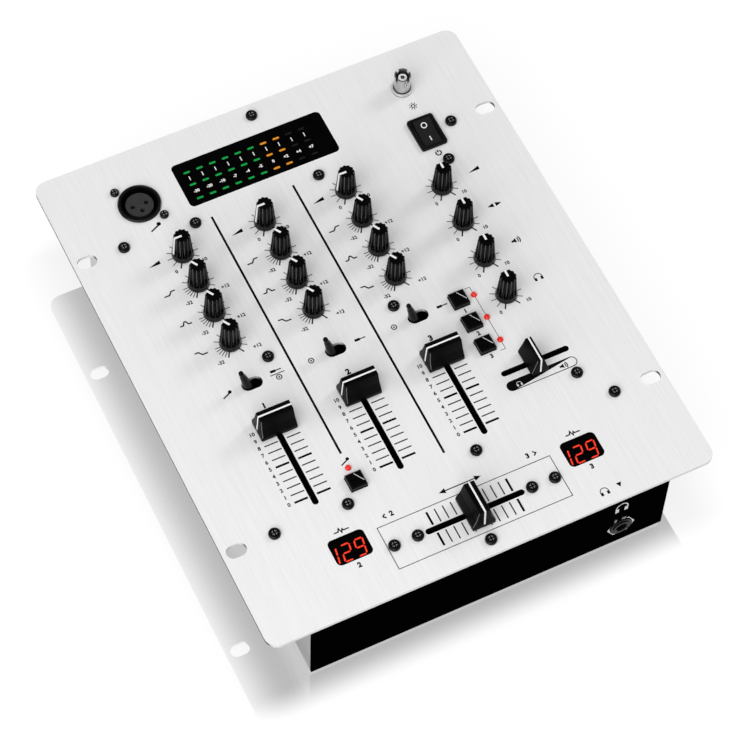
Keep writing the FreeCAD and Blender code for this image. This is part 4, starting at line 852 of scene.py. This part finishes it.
def print_knob_scales():
    scale = Print()
    for k in CHANNELS:
        print_dial(scale, f"knob_gain_{k}", EVEN_TICKS, GAIN_FIGURES)
        for band in TONES:
            print_dial(scale, f"knob_{band}_{k}", BOOST_TICKS, TONE_FIGURES)
    for name in MASTERS:
        print_dial(scale, "knob_" + name, EVEN_TICKS, MASTER_FIGURES)
    scale.piece("knob_scales")


def beside(node, shift):
    """A spot on the panel beside the middle of a part."""
    at = middle(node)
    return at.x + shift[0], at.y + shift[1]


CHANNEL_SIGN_AT = (-16.4, 0.8)
MASTER_SIGN_AT = (20.6, 3.2)
SOURCE_ACROSS = 14.5
SOURCE_LINE = ((10.5, -0.1), (18.5, -0.1))
CHANNEL_NUMBER_ALONG = -24.9
CUE_NUMBER_AT = (0.4, -7.2)
CROSS_SIGN_ALONG = 17.4
CROSS_SIGN_ACROSS = 43.0
CROSS_NUMBER_ACROSS = 39.0
# Signs at the two sides of a source lever: sign, side, and shift along
FIRST_SOURCES = (("mic", -1, -0.6), ("plug", 1, 2.0), ("disc", 1, -2.4))
OTHER_SOURCES = (("disc", -1, -0.6), ("plug", 1, 0.6))
# Signs beside single parts: part, sign, place beside the part, and size
LONE_SIGNS = (("talk_button", "mic", (0, 13.2), 0.95), ("mic_socket_shell", "mic", (2.0, -17.0), 1.2),
              ("lamp_socket", "lamp", (0.5, -13.0), 1), ("power_switch_housing", "power", (0, -14.2), 1),
              ("crossfader_plate", "cross", (0, CROSS_SIGN_ALONG), 1))
CROSS_SIDES = ((-1, "2", "left"), (1, "3", "right"))
TEMPO_ACROSS = 66.3
TEMPO_SIGN_ALONG = -107.2
TEMPO_NUMBER_ALONG = -129.0
PHONES_SIGN_AT = (-9.5, -144.4)
PHONES_ARROW_AT = (-0.6, -144.3)


def print_signs():
    """Pictograms and channel numbers where the panel names its controls."""
    marks = Print()
    for k, x in zip(CHANNELS, CHANNEL_X):
        for band, (turn, sign) in BANDS.items():
            marks.sign(sign, *beside(f"knob_{band}_{k}", CHANNEL_SIGN_AT))
        y = middle(f"selector_lever_{k}").y
        for sign, side, shift in FIRST_SOURCES if k == 1 else OTHER_SOURCES:
            marks.sign(sign, x + side * SOURCE_ACROSS, y + shift)
        if k == 1:
            marks.line([(x + u, y + v) for u, v in SOURCE_LINE])
        marks.figures(str(k), x, CHANNEL_NUMBER_ALONG, *CHANNEL_TYPE)
        marks.figures(str(k), *beside(f"cue_button_{k}", CUE_NUMBER_AT), *CUE_TYPE)
    for name, sign in MASTERS.items():
        marks.sign(sign, *beside("knob_" + name, MASTER_SIGN_AT))
    for node, sign, shift, size in LONE_SIGNS:
        marks.sign(sign, *beside(node, shift), size)
    for side, number, sign in CROSS_SIDES:
        marks.sign(sign, *beside("crossfader_plate", (side * CROSS_SIGN_ACROSS, CROSS_SIGN_ALONG)))
        place = beside("crossfader_plate", (side * CROSS_NUMBER_ACROSS, CROSS_SIGN_ALONG))
        marks.figures(number, *place, *CROSS_TYPE)
        marks.sign("pulse", side * TEMPO_ACROSS, TEMPO_SIGN_ALONG)
        marks.figures(number, side * TEMPO_ACROSS, TEMPO_NUMBER_ALONG, *TEMPO_TYPE)
    jack = middle("phones_jack").x
    marks.sign("phones", jack + PHONES_SIGN_AT[0], PHONES_SIGN_AT[1])
    marks.sign("arrow_down", jack + PHONES_ARROW_AT[0], PHONES_ARROW_AT[1])
    marks.piece("panel_signs")


BRACKET_ACROSS = 9.0
BRACKET_ARM = 3.0
BRACKET_OVER = 5.2
BRACKET_UNDER = 6.0
BRACKET_WIDTH = 0.3


def print_cue_bracket():
    """A thin line that ties the cue lamps together."""
    first, last = middle("cue_button_1"), middle("cue_button_3")
    x, high, low = first.x + BRACKET_ACROSS, first.y + BRACKET_OVER, last.y - BRACKET_UNDER
    bracket = Print()
    bracket.line([(x - BRACKET_ARM, high), (x, high), (x, low), (x - BRACKET_ARM, low)], BRACKET_WIDTH)
    bracket.piece("cue_bracket")


MIX_SIGN_LEFT = 51.0
MIX_SIGN_RIGHT = 86.1
MIX_SIGN_ALONG = -69.1
MIX_SIGN_RADIUS = 2.8
MIX_SIGN_LINE = 0.45
MIX_WEDGE_TIP = (1.0, -0.15)
# Shifts across and along from an end of the outline, and size
MIX_SPEAKER = (-5.0, -0.5, 0.9)
MIX_PHONES = (4.0, -0.1, 0.62)
CROSS_STEPS = 5
CROSS_STEP = 4.55
CROSS_TICK = (2.5, 10.4)
FRONT_SIGN_AT = (0.6, 16.0)
FRONT_SIGN_SIZE = (1.5, 1.3)
BUTTONS = ("cue_button_1", "cue_button_2", "cue_button_3", "talk_button")
BUTTON_HIGHLIGHT = ((0.1, 3.4), (3.6, -2.1))
BUTTON_HIGHLIGHT_WIDTH = 0.42


def print_mix_scale():
    """An obround outline below the cue mix slot with a dark wedge from full to nothing."""
    left, right, y, radius = MIX_SIGN_LEFT, MIX_SIGN_RIGHT, MIX_SIGN_ALONG, MIX_SIGN_RADIUS
    scale = Print()
    scale.line(arc(left, y, radius, 90, 270, 14) + arc(right, y, radius, -90, 90, 14), MIX_SIGN_LINE, True)
    tip = (right + MIX_WEDGE_TIP[0], y + radius + MIX_WEDGE_TIP[1])
    scale.fill(arc(left, y, radius, 80, 280, 18) + [tip])
    shift, rise, size = MIX_SPEAKER
    scale.sign("speaker", right + shift, y + rise, size)
    scale.piece("mix_scale")
    white = Print()
    shift, rise, size = MIX_PHONES
    white.sign("phones", left + shift, y + rise, size)
    white.piece("mix_sign", *WHITE, face=Matrix.Translation((0, 0, PANEL_TOP + INK)))


def print_cross_scale():
    """Ticks above and below the crossfader slot, heavy at the ends."""
    plate = middle("crossfader_plate")
    scale = Print()
    for k in range(-CROSS_STEPS, CROSS_STEPS + 1):
        if k == 0:
            continue
        x = plate.x + k * CROSS_STEP
        width = LEVEL_MAIN_TICK if abs(k) == CROSS_STEPS else LEVEL_TICK
        for side in (-1, 1):
            scale.line([(x, plate.y + side * reach) for reach in CROSS_TICK], width)
    scale.piece("cross_scale")


def print_front_sign():
    """A white headphone sign above the jack on the front plate."""
    jack = middle("phones_nut")
    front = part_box("front_plate")[0].y / MM
    sign = Print()
    sign.sign("phones", jack.x + FRONT_SIGN_AT[0], jack.z + FRONT_SIGN_AT[1], *FRONT_SIGN_SIZE)
    sign.piece("front_sign", *WHITE, face=Matrix.Translation((0, front, 0)) @ UPRIGHT)


def print_buttons():
    """A painted highlight: one fine slanting pale line near the corner of each button."""
    for node in BUTTONS:
        at = middle(node)
        mark = Print()
        mark.line([(at.x + x, at.y + y) for x, y in BUTTON_HIGHLIGHT], BUTTON_HIGHLIGHT_WIDTH)
        mark.piece("mark_" + node, "button_highlight_grey", "white_plastic", node, Matrix.Translation((0, 0, top(node))))


ROCKER_TILT = 7.0
ROCKER_PIVOT_DEPTH = 0.5
ROCKER_HALF = 8.2
ROCKER_END_RISE = 3.0
ROCKER_MID_RISE = 1.9
# Side of the rocker, path, width of line, and True for a line that closes
ROCKER_MARKS = {"off": (1, disc(0, 4.3, 1.5, 28), 0.55, True), "on": (-1, [(0, -5.9), (0, -2.9)], 0.6)}


def print_rocker():
    """A ring and a bar on the two slopes of the power rocker."""
    at = middle("power_switch_housing")
    slope = math.atan2(ROCKER_END_RISE - ROCKER_MID_RISE, ROCKER_HALF)
    pivot = Matrix.Translation((at.x, at.y, PANEL_TOP - ROCKER_PIVOT_DEPTH))
    tilted = pivot @ Matrix.Rotation(math.radians(ROCKER_TILT), 4, "X")
    for name, (side, *line) in ROCKER_MARKS.items():
        mark = Print()
        mark.line(*line)
        face = tilted @ Matrix.Translation((0, 0, ROCKER_MID_RISE)) @ Matrix.Rotation(side * slope, 4, "X")
        mark.piece("rocker_" + name, *WHITE, "power_rocker", face)


# Displays: lit bars and digits on the faces of the smoked windows

METER_BARS = 10
METER_GREEN = 6
METER_LIT = 8
METER_FIGURES = ("-30", "-20", "-10", "-7", "-4", "-2", "0", "+2", "+4", "+7")
METER_START = -47.5
METER_PITCH = 7.61
METER_ROWS = (125.5, 117.1, 107.6)
METER_TICK = (122.7, 120.1)
METER_FIGURES_ALONG = 112.4
METER_FIGURES_SHIFT = 0.1
METER_COLOURS = ("green", "amber", "dark")
BAR_SIZE = (3.8, 1.24)
TEMPO_CORNER = (-13.65, -124.9)
DIGIT_WIDTH = 5.4
DIGIT_HEIGHT = 10.2
DIGIT_PITCH = 7.5
DIGIT_SLANT = 0.16
DIGIT_STROKE = 0.85
DIGIT_GAP = 0.22
READING = "129"
SEGMENTS_LIT = {"1": "bc", "2": "abged", "9": "abcdfg"}
ON_LENS = Matrix.Translation((0, 0, LENS_TOP))


def light_meter():
    bars = {kind: Print() for kind in METER_COLOURS}
    figures = Print()
    for k in range(METER_BARS):
        x = METER_START + k * METER_PITCH
        kind = "green" if k < METER_GREEN else "amber" if k < METER_LIT else "dark"
        for y in METER_ROWS:
            bars[kind].fill(obround(*BAR_SIZE, x, y, True, 8))
        figures.line([(x, y) for y in METER_TICK])
        figures.figures(METER_FIGURES[k], x + METER_FIGURES_SHIFT, METER_FIGURES_ALONG, *METER_TYPE)
    for kind in METER_COLOURS:
        bars[kind].piece("meter_bars_" + kind, kind + "_bar", "clear_lens", face=ON_LENS)
    figures.piece("meter_figures", *WHITE, face=ON_LENS)


def segment_lines():
    """The seven strokes of a digit whose lower left corner is the origin."""
    inset = DIGIT_STROKE / 2
    trim = DIGIT_GAP + inset
    left, right = inset, DIGIT_WIDTH - inset
    low, mid, high = inset, DIGIT_HEIGHT / 2, DIGIT_HEIGHT - inset
    lines = {key: [(left + trim, y), (right - trim, y)] for key, y in zip("agd", (high, mid, low))}
    uprights = {"f": (left, mid, high), "b": (right, mid, high),
                "e": (left, low, mid), "c": (right, low, mid)}
    for key, (x, start, end) in uprights.items():
        lines[key] = [(x, start + trim), (x, end - trim)]
    return lines


def stroke(start, end):
    """A bar of a digit, with pointed ends."""
    start, end = Vector(start), Vector(end)
    along = (end - start).normalized() * DIGIT_STROKE / 2
    across = Vector((-along.y, along.x))
    return [start - along, start - across, end - across, end + along, end + across, start + across]


def light_tempo():
    lines = segment_lines()
    slant = Matrix.Identity(4)
    slant[0][1] = DIGIT_SLANT
    for name, x in (("left", -TEMPO_ACROSS), ("right", TEMPO_ACROSS)):
        digits = Print()
        for k, figure in enumerate(READING):
            digit = Print()
            for key in SEGMENTS_LIT[figure]:
                digit.fill(stroke(*lines[key]))
            corner = Matrix.Translation((x + TEMPO_CORNER[0] + k * DIGIT_PITCH, TEMPO_CORNER[1], 0))
            digits.join(digit, corner @ slant)
        digits.piece("tempo_digits_" + name, "red_segment", "red_lens", face=ON_LENS)


# Sockets and slots: trims, and black rings and liners that paint shade into the slots and the lamp socket

SLOT_WIDTH = 3.4
SLOT_PLAY = 0.04
LINER_WALL = 0.4
LINER_DROP = 0.12
PANEL_DEPTH = 1.9
PLATE_DEPTH = 0.95
SLOT_LENGTH = 56.3
MIX_SLOT_LENGTH = 39.7
CHANNEL_SLOT_ALONG = -60.5
MIX_SLOT_ACROSS = 68.8
SEAM_GAP = 0.12
SEAM_WIDTH = 0.4
SEAM_DEPTH = 0.6
MIC_RIBS = 90
MIC_RIDGE = 11.86
MIC_GROOVE = 11.72
MIC_BAND_INNER = 11.3
MIC_BAND_FOOT = 0.1
MIC_BAND_DROP = 0.35
BEZEL_SIZE = (15.5, 21.0)
BEZEL_CORNER = 1.5
BEZEL_LEAST_CORNER = 0.25
# Inset and level of each loop, from the outer foot over the top to the inner foot
BEZEL_LOOPS = ((-0.05, 0.02), (-0.05, 1.3), (0.1, 1.6), (0.35, 1.8), (0.6, 1.86), (1.4, 1.86), (1.6, 1.7),
               (1.5, 1.5), (0.5, 0.02))
COLLAR_RIBS = 40
COLLAR_RIDGE = 6.5
COLLAR_GROOVE = 6.2
COLLAR_INNER = 3.9
COLLAR_ENDS = (-0.05, 0.55)
COLLAR_CAP = [(4.9, 0.0), (4.9, 0.9), (4.7, 1.08), (3.5, 1.08), (3.25, 0.9), (3.25, 0.0)]
# Turned rings: the part each goes round, the part whose top its levels count from, slot, finish, the angle
# below which its faces look smooth, and its section as radius and level
RINGS = {
    "mic_lip": ("mic_socket_shell", "mic_socket_shell", "black_plastic", "gloss_plastic", 60, [
        (11.2, -0.1), (11.75, -0.1), (11.78, 0.05), (11.6, 0.2), (11.38, 0.2), (11.2, 0.05)]),
    "mic_face_bead": ("mic_socket_shell", "mic_socket_insert", "black_plastic", "socket_plastic", 40, [
        (7.62, -0.1), (7.62, 0.1), (7.5, 0.22), (7.3, 0.22), (7.15, 0.1), (7.15, -0.1)]),
    "lamp_washer": ("lamp_socket", "top_panel", "nickel", "satin_nickel", 40, [
        (4.62, 1.55), (6.05, 1.55), (6.15, 1.65), (6.0, 1.78), (4.62, 1.78)]),
    # Painted shade: a black ring at the foot of the lamp tube stands for the shade in the groove there
    "lamp_foot_shade_ring": ("lamp_socket", "top_panel", "rubber", "rubber", 40, [
        (4.6, 1.7), (4.95, 1.7), (4.95, 2.1), (4.8, 2.25), (4.6, 2.25)]),
    # Painted shade: a black sleeve inside the lamp tube's bore darkens the recess round the insulator
    "lamp_bore_shade_liner": ("lamp_socket", "lamp_socket_insulator", "black_steel", "black_steel", 40, [
        (3.88, -4.5), (3.88, -0.6), (3.75, -0.45), (3.6, -0.6), (3.6, -4.5)]),
    "lamp_bush": ("lamp_socket", "lamp_socket_insulator", "black_plastic", "black_plastic", 40, [
        (0.55, -0.3), (1.05, -0.3), (1.15, 0.02), (1.0, 0.08), (0.55, 0.02)]),
}


def line_slots():
    """Painted shade: thin black sleeves inside the fader slots darken them."""
    cross, mix = middle("crossfader"), middle("cue_mix_fader")
    slots = [(x, CHANNEL_SLOT_ALONG, SLOT_LENGTH, False, PANEL_DEPTH) for x in CHANNEL_X]
    slots.append((0.0, cross.y, SLOT_LENGTH, True, PLATE_DEPTH))
    slots.append((MIX_SLOT_ACROSS, mix.y, MIX_SLOT_LENGTH, True, PANEL_DEPTH))
    sleeves = Form()
    for x, y, length, along_x, depth in slots:
        outer = obround(length - SLOT_PLAY, SLOT_WIDTH - SLOT_PLAY, x, y, along_x)
        inner = obround(length - 2 * LINER_WALL, SLOT_WIDTH - 2 * LINER_WALL, x, y, along_x)
        sleeves.band(outer, inner, PANEL_TOP - depth, PANEL_TOP - LINER_DROP)
    sleeves.case_piece("slot_shade_liners", "black_plastic", finish="black_ink")


def line_plate():
    """A dark seam round the crossfader plate."""
    low, high = (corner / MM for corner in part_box("crossfader_plate"))
    path = oblong(low.x - SEAM_GAP, low.y - SEAM_GAP, high.x + SEAM_GAP, high.y + SEAM_GAP)
    seam = Form()
    seam.ribbon(path, SEAM_WIDTH, PANEL_TOP - SEAM_DEPTH, PANEL_TOP + INK, True)
    seam.case_piece("plate_seam", "black_plastic", finish="black_ink")


def trim_mic():
    """A ribbed band round the microphone socket."""
    at, rim = middle("mic_socket_shell"), top("mic_socket_shell")
    band = Form()
    band.band(ribbed(MIC_RIBS, MIC_RIDGE, MIC_GROOVE), disc(0, 0, MIC_BAND_INNER, 2 * MIC_RIBS),
              PANEL_TOP + MIC_BAND_FOOT, rim - MIC_BAND_DROP)
    band.move(Matrix.Translation((at.x, at.y, 0)))
    band.case_piece("mic_rib_band", "black_plastic", 20)


def make_rings():
    """A lip and a bead on the microphone socket, a washer and a bush on the lamp socket, and black rings of
    painted shade at the foot of its tube and inside its bore.
    """
    for name, (part, level_part, slot, finish, smooth_below, section) in RINGS.items():
        at = middle(part)
        ring = Form()
        ring.lathe_ring(section)
        ring.move(Matrix.Translation((at.x, at.y, top(level_part))))
        ring.case_piece(name, slot, smooth_below, finish)


def trim_power():
    """A bevelled frame over the bezel of the power switch."""
    at = middle("power_switch_housing")
    loops = []
    for inset, level in BEZEL_LOOPS:
        corner = max(BEZEL_LEAST_CORNER, BEZEL_CORNER - inset)
        across, along = (size / 2 - inset - corner for size in BEZEL_SIZE)
        outline = []
        for turn, u, v in ((0, 1, 1), (90, -1, 1), (180, -1, -1), (270, 1, -1)):
            outline += arc(at.x + u * across, at.y + v * along, corner, turn, turn + 90, 6)
        loops.append([(x, y, PANEL_TOP + level) for x, y in outline])
    bezel = Form()
    bezel.through(loops, True)
    bezel.case_piece("power_frame", "black_plastic", 50)


def trim_phones():
    """A ribbed black collar on the front of the headphone nut, and a cap ring over the bushing."""
    nut = middle("phones_nut")
    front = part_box("phones_nut")[0].y / MM
    collar = Form()
    collar.band(ribbed(COLLAR_RIBS, COLLAR_RIDGE, COLLAR_GROOVE), disc(0, 0, COLLAR_INNER, 2 * COLLAR_RIBS),
                *COLLAR_ENDS)
    collar.lathe_ring(COLLAR_CAP)
    collar.move(Matrix.Translation((nut.x, front, nut.z)) @ UPRIGHT)
    collar.case_piece("phones_collar", "black_plastic", 20, "knob_plastic")


# Screw heads: painted highlights round the cross recesses

RECESS_EDGE = 0.6
RECESS_REACH = 1.4
RECESS_LINE = 0.3
RECESS_SINK = 0.05
RECESS_RISE = 0.04
SCREW_REACH = 6.6


def screw_spots(node):
    """The middle and the top of each screw in a node, found by gathering points that stand close together."""
    groups = []
    for vertex in frame["nodes"][node].data.vertices:
        at = vertex.co / MM
        for group in groups:
            if (group[0] - at).xy.length < SCREW_REACH:
                group.append(at)
                break
        else:
            groups.append([at])
    spots = []
    for group in groups:
        xs, ys = [at.x for at in group], [at.y for at in group]
        spots.append(((min(xs) + max(xs)) / 2, (min(ys) + max(ys)) / 2, max(at.z for at in group)))
    return spots


def mark_screws():
    # Painted highlight: pale metal lines round each cross recess stand for light caught on its edges
    edges = Form()
    for x, y, level in screw_spots("panel_screws"):
        for u, v in ((1, 1), (-1, 1), (-1, -1), (1, -1)):
            path = [(x + u * RECESS_REACH, y + v * RECESS_EDGE), (x + u * RECESS_EDGE, y + v * RECESS_EDGE),
                    (x + u * RECESS_EDGE, y + v * RECESS_REACH)]
            edges.ribbon(path, RECESS_LINE, level - RECESS_SINK, level + RECESS_RISE)
    edges.case_piece("screw_recess_highlights", "black_steel", finish="recess_highlight_steel")


# Rear connectors: coloured insulating rings in the phono jacks

JACK_COLUMNS = 9
JACK_START = -84.0
JACK_PITCH = 15.0
JACK_ROWS = {"lower": (15.5, "red_lens", "red_ring"), "upper": (31.5, "white_plastic", "white_plastic")}
RING_OUTER = 3.3
RING_INNER = 1.75
RING_ENDS = (-0.05, 0.3)


def make_jack_rings():
    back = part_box("phono_jacks")[1].y / MM
    for name, (level, slot, finish) in JACK_ROWS.items():
        rings = Form()
        for k in range(JACK_COLUMNS):
            x = JACK_START + k * JACK_PITCH
            rings.band(disc(x, level, RING_OUTER, 32), disc(x, level, RING_INNER, 32), *RING_ENDS)
        rings.move(Matrix.Translation((0, back, 0)) @ UPRIGHT)
        rings.case_piece("jack_rings_" + name, slot, finish=finish)


# Studio: a white glossy floor whose reflection fades away from the case, soft lamps and a pale surround

FLOOR_HALF = 6.0
FLOOR_LEVEL = -0.00002
FLOOR_GREY = 0.16
FLOOR_LIFT = 0.87
REFLECT_HALF_ACROSS = 0.116
REFLECT_FRONT = -0.14875
REFLECT_REAR = 0.1405
REFLECT_FADE = 0.020
REFLECT_SIDE_SHARE = 0.6
REFLECT_MOST = 0.515
SKY_PLAIN = 0.5
SKY_LOW = 0.85
SKY_OVERHEAD = 0.22
SKY_FADE = (0.3, 0.75)
LAMP_AIM = Vector((0, 0, 0.05))
# Place, size and power of each lamp
LAMPS = {"right_lamp": ((2.5, 0.6, 1.7), 0.8, 19), "left_lamp": ((-1.0, -0.9, 1.1), 1.9, 27.5)}


def seen_rays(tree):
    """One for rays that show a face, a reflection or what lies behind glass, and nothing for plain light."""
    rays = add_node(tree, "LightPath").outputs
    seen = work_out(tree, "MAXIMUM", rays["Is Camera Ray"], rays["Is Glossy Ray"])
    return work_out(tree, "MAXIMUM", seen, rays["Is Transmission Ray"])


def floor_material():
    """White to the eye, with a mirror that fades away from the case."""
    material, tree, shader = new_material("studio_floor")
    tree.nodes.remove(shader)

    def beyond(place, reach):
        """How far a place lies past a reach, to either side."""
        over = work_out(tree, "SUBTRACT", work_out(tree, "ABSOLUTE", place), reach)
        return work_out(tree, "MAXIMUM", over, 0.0)

    position = add_node(tree, "NewGeometry").outputs["Position"]
    split = add_node(tree, "SeparateXYZ", Vector=position).outputs
    side = work_out(tree, "MULTIPLY", beyond(split["X"], REFLECT_HALF_ACROSS), REFLECT_SIDE_SHARE)
    along = work_out(tree, "SUBTRACT", split["Y"], (REFLECT_FRONT + REFLECT_REAR) / 2)
    end = beyond(along, (REFLECT_REAR - REFLECT_FRONT) / 2)
    squares = [work_out(tree, "POWER", share, 2.0) for share in (side, end)]
    away = work_out(tree, "SQRT", work_out(tree, "ADD", *squares))
    fade = add_node(tree, "MapRange", interpolation_type="SMOOTHSTEP", Value=away, From_Max=REFLECT_FADE,
                    To_Min=REFLECT_MOST, To_Max=0.0).outputs["Result"]
    white = add_node(tree, "BsdfDiffuse", Color=shade(FLOOR_GREY)).outputs["BSDF"]
    strength = work_out(tree, "MULTIPLY", seen_rays(tree), FLOOR_LIFT)
    lift = add_node(tree, "Emission", Strength=strength).outputs["Emission"]
    base = add_node(tree, "AddShader", white, lift).outputs["Shader"]
    mirror = add_node(tree, "BsdfGlossy", Roughness=0.0).outputs["BSDF"]
    mix = add_node(tree, "MixShader", fade, base, mirror).outputs["Shader"]
    set_sockets(tree, tree.nodes["Material Output"], Surface=mix)
    return material


def make_floor():
    mesh = bpy.data.meshes.new("studio_floor")
    corners = [(x * FLOOR_HALF, y * FLOOR_HALF, FLOOR_LEVEL) for x, y in oblong(-1, -1, 1, 1)]
    mesh.from_pydata(corners, [], [(0, 1, 2, 3)])
    mesh.materials.append(floor_material())
    floor = new_object("studio_floor", mesh)


def make_world():
    """White in the mirror floor, dimmer overhead where it shows in shiny faces, and even for plain light."""
    world = bpy.data.worlds.new("studio")
    bpy.context.scene.world = world
    world.use_nodes = True
    tree = world.node_tree
    way = add_node(tree, "TexCoord").outputs["Generated"]
    height = add_node(tree, "SeparateXYZ", Vector=way).outputs["Z"]
    shown = add_node(tree, "MapRange", interpolation_type="SMOOTHSTEP", Value=height, From_Min=SKY_FADE[0],
                     From_Max=SKY_FADE[1], To_Min=SKY_LOW, To_Max=SKY_OVERHEAD).outputs["Result"]
    sharp = add_node(tree, "LightPath").outputs["Is Singular Ray"]
    level = add_node(tree, "MapRange", Value=seen_rays(tree), To_Min=SKY_PLAIN,
                     To_Max=work_out(tree, "MAXIMUM", shown, sharp)).outputs["Result"]
    set_sockets(tree, tree.nodes["Background"], Color=shade(1.0), Strength=level)


def make_lamp(name, place, size, power):
    """A soft square lamp that faces the part."""
    data = bpy.data.lights.new(name, "AREA")
    data.size = size
    data.energy = power
    lamp = new_object(name, data)
    away = Vector(place) - LAMP_AIM
    lamp.matrix_world = Matrix.Translation(place) @ away.to_track_quat("Z", "Y").to_matrix().to_4x4()


CAMERA_PLACE = Vector((-0.38548, -0.73105, 1.40434))
CAMERA_RIGHT = Vector((0.89882865, -0.43769228, 0.02307641))
CAMERA_DOWN = Vector((-0.36679556, -0.77997123, -0.50705611))
CAMERA_AHEAD = Vector((0.23993348, 0.44729223, -0.86160408))
CAMERA_LENS = 143.63
CAMERA_SENSOR = 36


def make_camera():
    data = bpy.data.cameras.new("camera")
    data.sensor_width = CAMERA_SENSOR
    data.lens = CAMERA_LENS
    camera = new_object("camera", data)
    axes = Matrix((CAMERA_RIGHT, -CAMERA_DOWN, -CAMERA_AHEAD)).transposed()
    camera.matrix_world = Matrix.Translation(CAMERA_PLACE) @ axes.to_4x4()
    bpy.context.scene.camera = camera


dress_frame()
make_knobs()
make_faders()
make_lever_tips()
print_rules()
print_channel_scales()
print_knob_scales()
print_signs()
print_cue_bracket()
print_mix_scale()
print_cross_scale()
print_front_sign()
print_buttons()
print_rocker()
light_meter()
light_tempo()
line_slots()
line_plate()
trim_mic()
make_rings()
trim_power()
trim_phones()
mark_screws()
make_jack_rings()
make_floor()
make_world()
for lamp_name, lamp_facts in LAMPS.items():
    make_lamp(lamp_name, *lamp_facts)
make_camera()
bpy.context.scene.view_settings.view_transform = "Standard"
